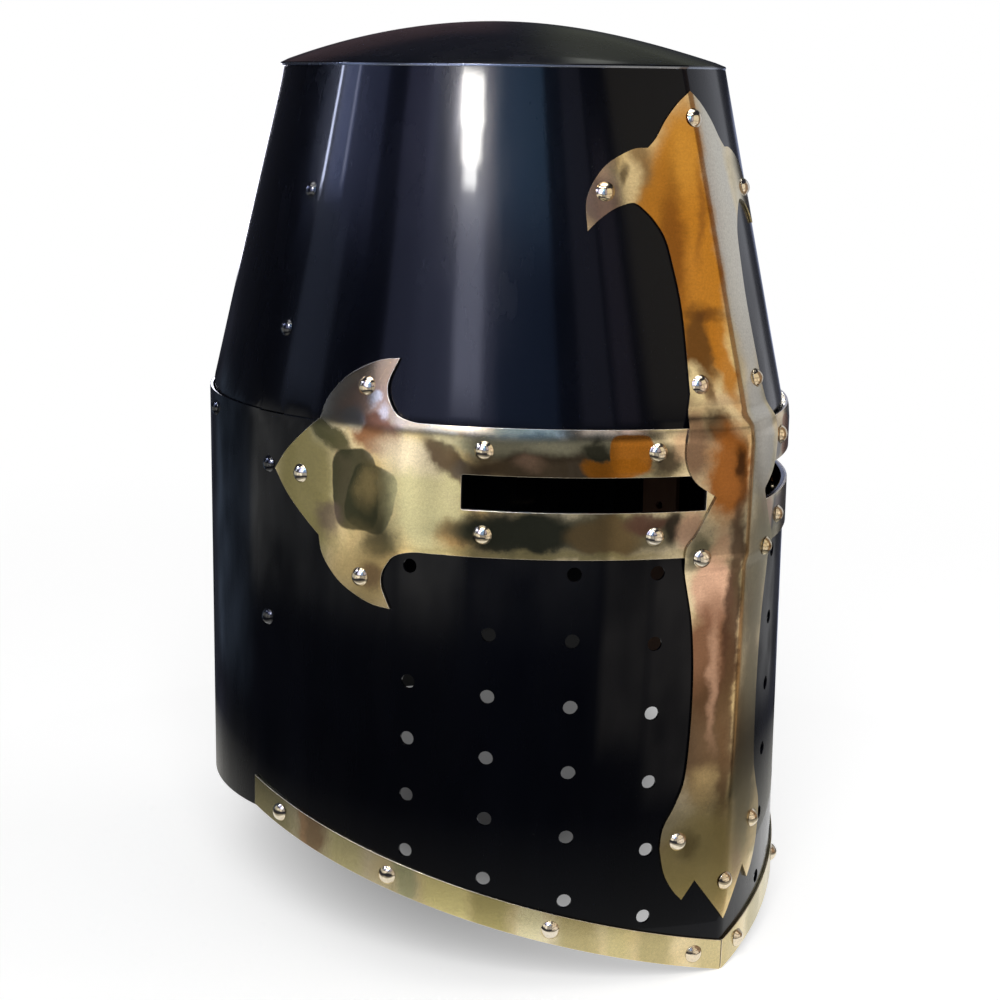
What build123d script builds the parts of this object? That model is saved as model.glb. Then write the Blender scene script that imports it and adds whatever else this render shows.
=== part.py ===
from build123d import *
import os
from math import acos, asin, cos, pi, radians, sin

os.makedirs("parts", exist_ok=True)

# A riveted great helm: five steel plates, a brass cross, brass rim trims, a leather liner and a chin strap.
# Millimetres. +Z is up, the nose ridge points to -Y, and +X is the wearer's left.
# The origin lies under the middle of the helm, level with the lowest point of the face plate.
# Shapes are built for the wearer's right half, where X is negative, and mirrored.

# Heights above the lowest point
brow_height = 201.0
wall_height = 325.0
dome_rise = 16.0
rim_side_height = 48.0
rim_back_height = 44.0

# Plan of the outer wall at three levels: reach in front of the widest line, half width, reach behind it
base_front = 135.0
base_half_width = 109.0
base_back = 112.0
brow_front = 140.0
brow_half_width = 105.0
brow_back = 120.0
top_front = 98.0
top_half_width = 80.0
top_back = 90.0

# The widest line lies behind the origin, and the top plate sits forward of it
widest_line = 10.8
top_forward = 6.0

# Sheet metal
steel = 1.2
brass = 1.0
top_steel = 1.5
skirt_depth = 12.0
side_lap = 14.0
side_edge = 6.0
plate_gap = 0.25
top_skirt_depth = 10.0
top_lip = 0.15

# Eye slits and the cross
slit_height = 12.4
slit_inner = 16.0
slit_outer = 101.8
cross_height = 181.2
arm_height = 45.6
terminal_start = 112.0
terminal_tip = 181.7
terminal_rise = 44.3
arm_nose_gap = 1.0

# The upright of the cross: heights of its marks, and half widths at them
upright_top = 317.6
upright_bottom = 20.2
horn_reach = 46.4
shaft_half_width = 17.6
upper_lobe_half_width = 24.8
upper_lobe_height = 197.5
lower_lobe_half_width = 23.6
lower_lobe_height = 158.5
waist_half_width = 12.9
waist_height = 179.6
lower_shaft_height = 108.0
fishtail_half_width = 27.6
fishtail_height = 51.0
joggle = 1.6

# Rim trim
trim_width = 11.5

# Breath holes: columns counted from the nose, rows from the top
hole_radius = 2.6
hole_first = 32.2
hole_pitch = 29.4
hole_columns = 4
hole_rows = 6
hole_top_height = 153.2
hole_rim_distance = 17.2
skipped_holes = ((2, 0), (3, 1))

# Rivets
rivet_radius = 1.6
rivet_clearance = 0.05
brass_head_radius = 3.4
brass_head_rise = 2.2
black_head_radius = 3.1
black_head_rise = 2.0
tail_radius = 2.5
tail_rise = 1.1
flat_tail_rise = 0.4
seat_gap = 0.05
tail_gap = 0.12
drill_depth = 9.6
drill_lead = 4.8
brow_rivet_drop = 6.0
back_rivet_shares = (0.282, 0.641)
seam_rivet_heights = (281.0, 231.6)
cheek_rivet_height = 124.3
strap_rivet_height = 181.8
arm_rivet_inner = 34.2
arm_rivet_outer = 94.0
arm_rivet_offset = 14.8
terminal_rivet = 140.0
terminal_rivet_offset = 34.0
tip_rivet = 167.7
trim_rivets = (12.0, 66.4, 127.0, 177.6)
trim_rivet_rise = 5.3
top_rivet_height = 308.4
horn_rivet = (38.0, 283.5)
shaft_rivet = (15.2, 218.4)
lobe_rivet = (17.2, 158.0)
fishtail_rivet = (20.5, 53.2)
foot_rivet_height = 35.0

# Leather liner
leather = 2.0
leaf_leather = 1.5
soft_gap = 0.3
band_bottom = 189.0
band_top = 211.0
leaf_bottom = 201.5
crown_height = 288.0
leaf_count = 8
leaf_gap = 5.0
crown_radius = 27.0
tip_circle_radius = 16.0

# Chin strap and its buckle
strap_width = 20.0
strap_leather = 2.2
strap_top = 189.0
tongue_bottom = 68.0
tongue_point = 12.0
tongue_hole_radius = 1.75
tongue_hole_pitch = 12.0
tongue_holes = 5
buckle_height = 112.0
bar_radius = 1.6
buckle_wire_radius = 1.6
buckle_fit = 0.05
buckle_length = 19.0
buckle_side_gap = 1.8
fold_length = 24.0
pinch_length = 8.0
prong_radius = 1.1
prong_slot = 5.6
prong_width = 4.4
prong_wall = 1.2
fold_rivet_rise = 18.0

# One overrun serves all cuts
overrun = 2.0
reach = 300.0

# A step along the wall that is small enough to give its direction
step_share = 0.001

# The rim's cutting line runs on past the side, and is drawn through marks along it
rim_run_share = 1.12
rim_mark_shares = (0.0, 0.25, 0.5, 0.75, 1.0)

# How far the slit's outer end is rounded, as a share of its height
slit_round_share = 0.06

# Rings of the crown's leaves: share of the outline, share of the climb
crown_shares = ((0.95, 0.34), (0.84, 0.63), (0.64, 0.86), (0.36, 1.0))

# Shares of the outline at which a dome's rings lie
dome_shares = (1.0, 0.86, 0.68, 0.46, 0.24, 0.08)

# Corners of an arm's end: share of the way to its tip, share of its rise; 5 and 10 are sharp
terminal_shares = (
    (0.108, 0.519), (0.200, 0.560), (0.248, 0.640), (0.274, 0.730), (0.272, 0.835), (0.224, 1.000),
    (0.345, 0.972), (0.495, 0.868), (0.583, 0.756), (0.646, 0.622), (0.668, 0.480),
    (0.775, 0.352), (0.905, 0.178), (1.0, 0.0),
)

# The upright's head from its tip down: share of the horn's reach, share of its height; 4 and 8 are sharp
head_shares = (
    (0.0, 0.0), (0.13, 0.036), (0.256, 0.084), (0.353, 0.132), (0.435, 0.161),
    (0.569, 0.167), (0.797, 0.215), (0.963, 0.300), (1.0, 0.394),
    (0.903, 0.363), (0.784, 0.334), (0.672, 0.318), (0.601, 0.317),
    (0.528, 0.341), (0.470, 0.371), (0.418, 0.414), (0.395, 0.480),
)

# The shaft: share of its height where it turns straight, and of the lobe's widening just above the lobe
shaft_foot_share = 0.38
throat_share = 0.3

# The upright's edge from mark to mark: share of the change in width, share of the way down
lobe_shares = ((0.0, 0.0), (0.25, 0.62), (1.0, 1.0))
waist_shares = ((0.0, 0.0), (0.62, 0.6), (1.0, 1.0))
neck_shares = ((0.75, 0.5), (1.0, 1.0))
flare_shares = ((0.12, 0.5), (0.45, 0.7), (0.9, 0.86), (1.0, 1.0))
foot_shares = ((0.0, 0.0), (0.07, 0.3), (0.2, 0.52), (0.34, 0.665))
notch_share = (0.52, 0.44)


# Plan outlines

def lerp(low, high, share):
    return low + (high - low) * share


base_plan = (base_front, base_half_width, base_back, widest_line)
brow_plan = (brow_front, brow_half_width, brow_back, widest_line)
top_plan = (top_front, top_half_width, top_back, widest_line - top_forward)


def front_arc(plan, inset):
    """Radius of the face arc, how far its centre lies beyond the middle, and its swing from side to nose."""
    front, half_width, back, middle = plan
    radius = (half_width ** 2 + front ** 2) / (2 * half_width)
    beyond = radius - half_width
    return radius - inset, beyond, acos(beyond / (radius - inset))


def plan_point(plan, inset, share):
    """A point on the right half of an outline: share 0 at the nose, 1 at the side, 2 at the back."""
    front, half_width, back, middle = plan
    if share <= 1:
        radius, beyond, swing = front_arc(plan, inset)
        turn = swing * (1 - share)
        return Vector(beyond - radius * cos(turn), middle - radius * sin(turn))
    turn = (share - 1) * pi / 2
    return Vector(-(half_width - inset) * cos(turn), middle + (back - inset) * sin(turn))


def plan_face(plan, inset, height):
    """The closed outline at a height: two face arcs that meet at the nose, and two quarter ellipses."""
    front, half_width, back, middle = plan
    nose = plan_point(plan, inset, 0)
    bulge = plan_point(plan, inset, 0.5)
    side = plan_point(plan, inset, 1)
    right_arc = ThreePointArc(nose, bulge, side)
    left_arc = ThreePointArc((-side.X, side.Y), (-bulge.X, bulge.Y), nose)
    quarters = [
        EllipticalCenterArc((0, middle), half_width - inset, back - inset, start_angle=90, arc_size=90),
        EllipticalCenterArc((0, middle), half_width - inset, back - inset, start_angle=0, arc_size=90),
    ]
    outline = Wire([right_arc, quarters[0], quarters[1], left_arc])
    return Pos(0, 0, height) * Face(outline)


def lower_plug(inset):
    """Everything inside the lower wall, from the lowest point to the brow."""
    return loft([plan_face(base_plan, inset, 0), plan_face(brow_plan, inset, brow_height)], ruled=True)


def upper_plug(brow_inset, top_inset):
    """Everything inside the tapered upper wall, from the brow to its top edge."""
    low = plan_face(brow_plan, brow_inset, brow_height)
    return loft([low, plan_face(top_plan, top_inset, wall_height)], ruled=True)


def lower_shell(outer, inner):
    return lower_plug(outer) - lower_plug(inner)


def upper_shell(outer, inner):
    return upper_plug(*outer) - upper_plug(*inner)


def wall_point(share, height, lower_inset=0.0, upper_insets=(0.0, 0.0)):
    """A point on the wall's right half at a height, on the lower or the upper wall."""
    if height <= brow_height:
        part = height / brow_height
        low, high = plan_point(base_plan, lower_inset, share), plan_point(brow_plan, lower_inset, share)
    else:
        part = (height - brow_height) / (wall_height - brow_height)
        low = plan_point(brow_plan, upper_insets[0], share)
        high = plan_point(top_plan, upper_insets[1], share)
    return Vector(lerp(low.X, high.X, part), lerp(low.Y, high.Y, part), height)


def wall_normal(share, height, lower_inset=0.0, upper_insets=(0.0, 0.0)):
    """The outward direction of the wall's right half at a point."""
    rise = brow_height * step_share
    insets = (lower_inset, upper_insets)
    across = wall_point(share + step_share, height, *insets) - wall_point(share, height, *insets)
    upward = wall_point(share, height + rise, *insets) - wall_point(share, height, *insets)
    return upward.cross(across).normalized()


def face_length(height):
    """The length of the face from nose to side along a level line."""
    lengths = []
    for plan in (base_plan, brow_plan, top_plan):
        radius, beyond, swing = front_arc(plan, 0)
        lengths.append(radius * swing)
    if height <= brow_height:
        return lerp(lengths[0], lengths[1], height / brow_height)
    return lerp(lengths[1], lengths[2], (height - brow_height) / (wall_height - brow_height))


brow_length = face_length(brow_height)


def rim_height(share):
    """The lower rim climbs steadily from the nose to the side."""
    return rim_side_height * share


# Cutting shapes on the right half

right_half = Pos(-reach / 2, 0, 0) * Box(reach, 2 * reach, 3 * reach)
brow_radius, brow_beyond, brow_swing = front_arc(brow_plan, 0)
face_turn = brow_swing / 2
face_plane = Plane(
    origin=(0, widest_line, 0),
    x_dir=(sin(face_turn), -cos(face_turn), 0),
    z_dir=(-cos(face_turn), -sin(face_turn), 0),
)


def on_face(share, height):
    """Where a point of the face falls on the plane that its patterns are drawn on."""
    local = face_plane.to_local_coords(wall_point(share, height))
    return Vector(local.X, local.Y)


def face_prism(lines):
    """A prism through the right face from an outline drawn on its plane."""
    edges = [edge for line in lines for edge in line.edges()]
    return extrude(face_plane * Face(Wire(edges)), amount=reach)


def slab(low, high):
    return Pos(0, 0, (low + high) / 2) * Box(2 * reach, 2 * reach, high - low)


def seam_wedge(offset, front):
    """Everything in front of, or behind, the side seam line moved back by an offset."""
    low, high = widest_line + offset, widest_line - top_forward + offset
    far = -reach if front else reach
    points = [(low, -overrun), (low, brow_height), (high, wall_height), (high, wall_height + overrun),
              (far, wall_height + overrun), (far, -overrun)]
    side = Face(Wire(Polyline([Vector(0, y, z) for y, z in points], close=True)))
    return extrude(side, amount=reach, dir=(1, 0, 0), both=True)


def below_rim(rise):
    """Everything below the face plate's rim, moved up by a rise."""
    shares = [mark * rim_run_share for mark in rim_mark_shares]
    line = Spline([on_face(share, rim_height(share) + rise) for share in shares])
    start, end = line @ 0, line @ 1
    floor = -overrun * 2
    far = Polyline([end, Vector(end.X - overrun, end.Y), Vector(end.X - overrun, floor),
                    Vector(start.X + overrun, floor), Vector(start.X + overrun, start.Y), start])
    return face_prism([line, far])


def both_sides(shape):
    """The right half and its mirror image as one solid."""
    return shape + mirror(shape, about=Plane.YZ)


# Rivets

def rivet_spot(share, height, surface):
    """Where a rivet sits on a surface of the wall, and which way its head points."""
    point = wall_point(share, height, *surface)
    normal = wall_normal(share, height, *surface)
    if share in (0, 2):
        normal = Vector(0, normal.Y, normal.Z).normalized()
    return Plane(origin=point, z_dir=normal)


def within(spots, low, high):
    """The rivets that sit between two heights."""
    return [spot for spot in spots if low < spot[0].origin.Z < high]


def dome(radius, rise):
    """A round rivet head standing on the XY plane, cut from a ball."""
    ball = (radius ** 2 + rise ** 2) / (2 * rise)
    swing = asin(radius / ball) / 2
    middle = (ball * sin(swing), 0, ball * cos(swing) - ball + rise)
    arc = ThreePointArc((radius, 0, 0), middle, (0, 0, rise))
    profile = Face(Wire([arc, Line((0, 0, rise), (0, 0, 0)), Line((0, 0, 0), (radius, 0, 0))]))
    return revolve(profile, axis=Axis.Z)


def rivet(spot, grip, head_radius, head_rise):
    """A rivet with its head outside and its peened tail inside, gripping sheets of a total thickness."""
    length = grip + seat_gap + tail_gap
    shank = Pos(0, 0, seat_gap - length / 2) * Cylinder(rivet_radius, length)
    head = Pos(0, 0, seat_gap) * dome(head_radius, head_rise)
    tail = Pos(0, 0, seat_gap - length) * (Rot(180, 0, 0) * dome(tail_radius, tail_rise))
    return spot * (shank + head + tail)


def drill(spot, radius=rivet_radius + rivet_clearance, depth=drill_depth):
    """The hole for a rivet, deep enough for all the sheets under it."""
    return spot * (Pos(0, 0, (drill_lead - depth) / 2) * Cylinder(radius, drill_lead + depth))


def strap_drill():
    """The hole for the rivet that carries the chin strap, through to the strap's inner side."""
    spot, grip = strap_spot()
    return drill(spot, depth=grip + drill_lead)


flush = (0.0, (steel, 0.0))
arm_surface = (-brass, (-brass, -brass))
horn_end_share = (cross_height + terminal_rise - brow_height) / (wall_height - brow_height)
horn_drop = (steel * (1 - horn_end_share) - seat_gap) / horn_end_share
horn_surface = (-brass, (-brass, horn_drop - brass))
upright_upper = (-brass, (steel - brass, -brass))
upright_middle = (-2 * brass, (-2 * brass, -2 * brass))
lower_skin = (-brass, (-brass, -brass))
neck_surface = (steel, (steel, steel))
neck_grip = 2 * steel + soft_gap + leather


def share_at(length, height):
    """The share of the face at a distance from the nose."""
    return length / face_length(height)


def arm_rivet_spots():
    """Rivets of one arm with the thickness that each grips; the upper ones also hold the liner's band."""
    upper, lower = cross_height + arm_rivet_offset, cross_height - arm_rivet_offset
    band = 2 * steel + brass + soft_gap + leather
    spots = []
    for length in (arm_rivet_inner, arm_rivet_outer):
        spots.append((rivet_spot(length / brow_length, upper, arm_surface), band))
        spots.append((rivet_spot(length / brow_length, lower, arm_surface), steel + brass))
    horn = terminal_rivet / brow_length
    horn_height = cross_height + terminal_rivet_offset
    lean = (steel + horn_drop) * (horn_height - brow_height) / (wall_height - brow_height)
    spots.append((rivet_spot(horn, horn_height, horn_surface), 2 * steel + brass - lean))
    spots.append((rivet_spot(horn, cross_height - terminal_rivet_offset, arm_surface), steel + brass))
    spots.append((rivet_spot(tip_rivet / brow_length, cross_height, arm_surface), steel + brass))
    return spots


def upright_side_spots():
    """Rivets beside the ridge on the right half of the upright."""
    places = (
        (horn_rivet, upright_upper, steel + brass),
        (shaft_rivet, upright_upper, steel + brass),
        (lobe_rivet, upright_middle, steel + 2 * brass),
        (fishtail_rivet, lower_skin, steel + brass),
    )
    return [(rivet_spot(share_at(*place), place[1], surface), grip) for place, surface, grip in places]


def ridge_spots():
    """Rivets on the ridge itself; their tails stand clear of the fold's flanks."""
    spots = []
    for height, surface in ((top_rivet_height, upright_upper), (foot_rivet_height, lower_skin)):
        flank = wall_normal(0, height, *surface)
        clearance = tail_radius * abs(flank.X / flank.Y)
        spots.append((rivet_spot(0, height, surface), steel + brass + clearance))
    return spots


def trim_spots():
    return [
        (rivet_spot(length / brow_length, rim_height(length / brow_length) + trim_rivet_rise, lower_skin),
         2 * steel + brass if length == trim_rivets[-1] else steel + brass)
        for length in trim_rivets
    ]


def seam_share(height):
    """The side rivets run down the middle of the lap."""
    middle_offset = side_edge - side_lap / 2
    return 1 + middle_offset / (brow_length if height <= brow_height else face_length(height))


def seam_spots():
    """Black rivets of one side seam, apart from the one that also holds the chin strap."""
    heights = (*seam_rivet_heights, cheek_rivet_height)
    return [(rivet_spot(seam_share(height), height, flush), 2 * steel) for height in heights]


def strap_spot():
    """The seam rivet level with the eyes, which carries the chin strap."""
    depth = strap_inner_x - wall_point(1, strap_rivet_height, 2 * steel).X
    grip = 2 * steel + depth + tail_gap
    return rivet_spot(seam_share(strap_rivet_height), strap_rivet_height, flush), grip


def brow_spots():
    """Black rivets round the back of the brow on the right half, through both plates and the liner band."""
    height = brow_height - brow_rivet_drop
    return [(rivet_spot(1 + share, height, neck_surface), neck_grip) for share in back_rivet_shares]


def back_spot():
    return rivet_spot(2, brow_height - brow_rivet_drop, neck_surface), neck_grip


def drills(spots):
    return [drill(spot) for spot, grip in spots]


# Breath holes and slits

def breath_drills():
    """Each column is evenly spaced from under the arm to just above the trim."""
    holes = []
    for column in range(hole_columns):
        length = hole_first + hole_pitch * column
        share = length / brow_length
        bottom = rim_height(share) + hole_rim_distance
        for row in range(hole_rows):
            if (column, row) in skipped_holes:
                continue
            height = lerp(hole_top_height, bottom, row / (hole_rows - 1))
            holes.append(drill(rivet_spot(share, height, flush), hole_radius))
    return holes


def slit_prism():
    """The eye slit, square at the nose and with small round corners at its outer end."""
    low, high = cross_height - slit_height / 2, cross_height + slit_height / 2
    inner, outer = slit_inner / brow_length, slit_outer / brow_length
    lift = slit_height * slit_round_share
    corner = outer - lift / brow_length
    points = [on_face(inner, high), on_face(corner, high)]
    turn = [on_face(outer, high - lift), on_face(outer, low + lift)]
    last = [on_face(corner, low), on_face(inner, low)]
    edges = [
        Line(points[0], points[1]),
        Spline([points[1], turn[0]], tangents=[(-1, 0), (0, -1)]),
        Line(turn[0], turn[1]),
        Spline([turn[1], last[0]], tangents=[(0, -1), (1, 0)]),
        Line(last[0], last[1]),
        Line(last[1], points[0]),
    ]
    return face_prism(edges)


# Plates

def face_plate():
    """The keeled face plate: outermost, from the brow to the dipping rim."""
    half = lower_shell(0, steel) & right_half & seam_wedge(side_edge, True)
    half -= below_rim(0)
    half -= slit_prism()
    spots = arm_rivet_spots() + upright_side_spots() + ridge_spots()
    spots += trim_spots() + seam_spots() + [strap_spot()]
    half -= drills(within(spots, 0, brow_height)) + breath_drills()
    return both_sides(half)


def lower_back_plate():
    """The neck plate, tucked under the face plate at both sides."""
    half = lower_shell(steel, 2 * steel) & right_half & seam_wedge(side_edge - side_lap, False)
    slope = (rim_back_height - rim_side_height) / base_back
    near, far = widest_line - side_lap, widest_line + base_back + side_lap
    points = [(near, rim_side_height - slope * side_lap),
              (far, rim_side_height + slope * (far - widest_line)), (far, -overrun), (near, -overrun)]
    side = Face(Wire(Polyline([Vector(0, y, z) for y, z in points], close=True)))
    half -= extrude(side, amount=reach, dir=(1, 0, 0), both=True)
    spots = within(seam_spots(), 0, brow_height) + brow_spots()
    half -= drills(spots + [strap_spot(), back_spot(), trim_spots()[-1]])
    return both_sides(half)


def upper_front_plate():
    """The tapered front plate, with a skirt that goes down inside the face plate."""
    cone = upper_shell((steel, 0), (2 * steel, steel)) & right_half & seam_wedge(side_edge, True)
    cone &= slab(brow_height + plate_gap, wall_height)
    skirt = lower_shell(steel, 2 * steel) & right_half & seam_wedge(side_edge - side_lap - plate_gap, True)
    skirt &= slab(brow_height - skirt_depth, brow_height)
    neck = upper_shell((steel, 0), (2 * steel, steel)) & slab(brow_height, brow_height + 2 * plate_gap)
    neck = neck & right_half & seam_wedge(side_edge - side_lap - plate_gap, True)
    half = cone + skirt + neck
    spots = arm_rivet_spots() + upright_side_spots() + ridge_spots() + seam_spots()
    half -= drills(within(spots, brow_height - skirt_depth, wall_height))
    return both_sides(half)


def upper_back_plate():
    """The tapered back plate, one sheet further in, with a skirt inside the neck plate."""
    cone = upper_shell((2 * steel, steel), (3 * steel, 2 * steel))
    skirt = lower_shell(2 * steel, 3 * steel) & slab(brow_height - skirt_depth, brow_height)
    half = (cone + skirt) & right_half & seam_wedge(side_edge - side_lap, False)
    half -= drills(within(seam_spots(), brow_height, wall_height) + brow_spots() + [back_spot()])
    return both_sides(half)


def dome_faces(inset, height):
    """Outlines of a shallow dome that fades from the helm's keeled outline to an oval."""
    faces = []
    for share in dome_shares:
        keel = lerp(1, top_front / top_half_width, share ** 2)
        half_width = (top_half_width - inset) * share
        behind_middle = (top_back - inset) * share
        plan = (half_width * keel, half_width, behind_middle, widest_line - top_forward)
        faces.append(plan_face(plan, 0, height + dome_rise * (1 - share ** 2)))
    return faces


def top_plate():
    """The domed top plate, resting on the upper plates with a short skirt inside them."""
    outer_faces = dome_faces(-top_lip, wall_height + top_steel)
    skirt_face = dome_faces(2 * steel + plate_gap, wall_height)[0]
    inner_faces = dome_faces(3 * steel + plate_gap, wall_height)
    down = (0, 0, -1)
    outer = loft(outer_faces) + extrude(outer_faces[0], amount=top_steel, dir=down)
    outer += extrude(skirt_face, amount=top_skirt_depth, dir=down)
    inner = loft(inner_faces) + extrude(inner_faces[0], amount=top_skirt_depth, dir=down)
    return outer - inner


# The brass cross

def terminal_corner(index, side):
    along, rise = terminal_shares[index]
    length = terminal_start + (terminal_tip - terminal_start) * along
    return on_face(length / brow_length, cross_height + side * rise * terminal_rise)


def arm_prism():
    """One arm's outline: a straight band that ends in a point with two horns."""
    edges = []
    nose = on_face(arm_nose_gap / brow_length, cross_height + arm_height / 2)
    foot = on_face(arm_nose_gap / brow_length, cross_height - arm_height / 2)
    start_share = terminal_start / brow_length
    for side, corner in ((1, nose), (-1, foot)):
        start = on_face(start_share, cross_height + side * arm_height / 2)
        middle = on_face(start_share / 2, cross_height + side * arm_height / 2)
        curl = [start] + [terminal_corner(index, side) for index in range(6)]
        horn = [terminal_corner(index, side) for index in range(5, 11)]
        point = [terminal_corner(index, side) for index in range(10, 14)]
        edges += [Spline([corner, middle, start]), Spline(curl), Spline(horn), Spline(point)]
    edges.append(Line(nose, foot))
    return face_prism(edges)


def cross_arm():
    """The right arm: it lies on the face plate, and its upper horn leans in onto the upper plate."""
    low = lower_shell(-brass, 0)
    high = upper_shell((-brass, horn_drop - brass), (0, horn_drop))
    sheet = (low + high) & right_half & arm_prism()
    sheet -= slit_prism()
    arm_foot = cross_height - arm_height / 2 - rivet_radius
    sheet -= drills(arm_rivet_spots() + within(upright_side_spots(), arm_foot, brow_height))
    return sheet


def bar_corner(length, height):
    return on_face(share_at(length, height), height)


def edge_run(top, bottom, shares):
    """Corners of the upright's edge between two marks, each a half width and a height."""
    return [bar_corner(lerp(top[0], bottom[0], across), lerp(top[1], bottom[1], down))
            for across, down in shares]


def upright_prism():
    """The right half of the upright's outline, from the tip at the ridge down to the fishtail."""
    head = upright_top - upper_lobe_height
    marks = [bar_corner(across * horn_reach, upright_top - down * head) for across, down in head_shares]
    upper_lobe = (upper_lobe_half_width, upper_lobe_height)
    waist = (waist_half_width, waist_height)
    lower_lobe = (lower_lobe_half_width, lower_lobe_height)
    shaft = (shaft_half_width, lower_shaft_height)
    fishtail = (fishtail_half_width, fishtail_height)
    centre_foot = (0, upright_bottom)
    shaft_foot = bar_corner(shaft_half_width, lerp(upper_lobe_height, upright_top, shaft_foot_share))
    throat_width = lerp(shaft_half_width, upper_lobe_half_width, throat_share)
    throat = bar_corner(throat_width, 2 * upper_lobe_height - waist_height)
    lower_edge = edge_run(waist, lower_lobe, waist_shares) + edge_run(lower_lobe, shaft, neck_shares)
    foot = edge_run(fishtail, centre_foot, foot_shares)
    notch = edge_run(fishtail, centre_foot, [notch_share])[0]
    tip, centre_tip = marks[0], bar_corner(*centre_foot)
    past_nose = overrun * 2
    edges = [
        Spline(marks[:5]), Spline(marks[4:9]), Spline(marks[8:] + [shaft_foot, throat]),
        Spline([throat] + edge_run(upper_lobe, waist, lobe_shares)),
        Spline(lower_edge + edge_run(shaft, fishtail, flare_shares)),
        Spline(foot), Line(foot[-1], notch), Line(notch, centre_tip),
        Polyline([centre_tip, Vector(centre_tip.X + past_nose, centre_tip.Y),
                  Vector(tip.X + reach / 4, tip.Y), tip]),
    ]
    return face_prism(edges)


def upright():
    """The folded upright: it steps out over the arms and lies on the plates above and below them."""
    arm_top = cross_height + arm_height / 2 + plate_gap
    arm_foot = cross_height - arm_height / 2 - plate_gap
    parts = [
        upper_shell((steel - brass, -brass), (steel, 0)) & slab(arm_top, wall_height),
        upper_shell((-2 * brass, -2 * brass), (steel, 0)) & slab(arm_top, arm_top + joggle),
        upper_shell((-2 * brass, -2 * brass), (-brass, -brass)) & slab(brow_height, arm_top + joggle),
        lower_shell(-2 * brass, -brass) & slab(arm_foot - joggle, brow_height),
        lower_shell(-2 * brass, 0) & slab(arm_foot - joggle, arm_foot),
        lower_shell(-brass, 0) & slab(0, arm_foot),
    ]
    prism = upright_prism()
    half = parts[0] & right_half & prism
    for part in parts[1:]:
        half += part & right_half & prism
    half -= drills(upright_side_spots() + ridge_spots())
    return both_sides(half)


def rim_trim():
    """A brass strip along one side of the face plate's rim, from the nose to the side seam."""
    sheet = lower_shell(-brass, 0) & right_half & seam_wedge(side_edge - plate_gap, True)
    sheet -= below_rim(0)
    sheet &= below_rim(trim_width)
    sheet -= Pos(reach / 2 - plate_gap, 0, 0) * Box(reach, 2 * reach, 2 * reach)
    sheet -= drills(trim_spots())
    return sheet


# The liner

def liner_band(front):
    """Half of the leather band that is riveted inside the brow."""
    inset = (2 if front else 3) * steel + soft_gap
    low = lower_shell(inset, inset + leather) & slab(band_bottom, brow_height)
    high = upper_shell((inset, inset - steel), (inset + leather, inset - steel + leather))
    high &= slab(brow_height, band_top)
    offset = side_edge - side_lap
    wedge = seam_wedge(offset - steel, True) if front else seam_wedge(offset, False)
    half = (low + high) & right_half & wedge
    front_spots = within(arm_rivet_spots(), band_bottom, brow_height)
    half -= drills(front_spots if front else brow_spots() + [back_spot()])
    return both_sides(half)


def crown_plug(inset):
    """The space inside the liner's leaves: they lie on the band, and bend over above it."""
    band_inset = 3 * steel + 2 * soft_gap + leather + inset
    bend = band_top + leather
    rings = []
    for height in (leaf_bottom, bend):
        share = (height - brow_height) / (wall_height - brow_height)
        plan = [lerp(low, high, share) for low, high in zip(brow_plan, top_plan)]
        sizes = [size - band_inset for size in plan[:3]]
        rings.append((sizes, plan[3], height))
    faces = [plan_face((*sizes, middle), 0, height) for sizes, middle, height in rings]
    lower = loft(faces, ruled=True)
    (front, half_width, back), middle, height = rings[1]
    dome = [faces[1]]
    for share, climb_share in crown_shares:
        keel = lerp(1, front / half_width, share)
        plan = (half_width * share * keel, half_width * share, back * share, middle)
        dome.append(plan_face(plan, 0, lerp(bend, crown_height - inset, climb_share)))
    return lower + loft(dome)


def liner_leaves():
    """Leather leaves that rise from the band to the crown, cut from one domed sheet."""
    sheet = crown_plug(0) - crown_plug(leaf_leather)
    middle = widest_line - top_forward / 2
    sheet -= Pos(0, middle, crown_height) * Cylinder(tip_circle_radius, crown_height / 2)
    leaves = []
    for index in range(leaf_count):
        turn = 360 / leaf_count * (index + 0.5)
        half_angle = radians(180 / leaf_count)
        spread = reach * sin(half_angle) / cos(half_angle)
        start = leaf_gap / 2 / sin(half_angle)
        corners = [(start, 0), (start + reach, -spread), (start + reach, spread)]
        wedge = extrude(Face(Wire(Polyline(corners, close=True))), amount=wall_height)
        cutter = Pos(0, middle, 0) * (Rot(0, 0, turn) * wedge)
        leaves.append(sheet & cutter)
    return leaves


def crown_disc():
    """The leather disc that the leaves' tips are stitched under."""
    middle = widest_line - top_forward / 2
    return Pos(0, middle, crown_height + soft_gap + leaf_leather / 2) * Cylinder(crown_radius, leaf_leather)


# The chin strap

# It hangs straight down, clear of the wall wherever that leans in most
strap_walls = [wall_point(1, height, 2 * steel).X for height in (tongue_bottom, strap_rivet_height)]
strap_outer_x = max(strap_walls) + soft_gap * 2
strap_inner_x = strap_outer_x + strap_leather
strap_middle_y = widest_line + side_edge - side_lap / 2
bar_x = strap_inner_x + bar_radius + buckle_fit


def strap_blank(low, high):
    size = (strap_leather, strap_width, high - low)
    return Pos(strap_outer_x + strap_leather / 2, strap_middle_y, (low + high) / 2) * Box(*size)


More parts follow.
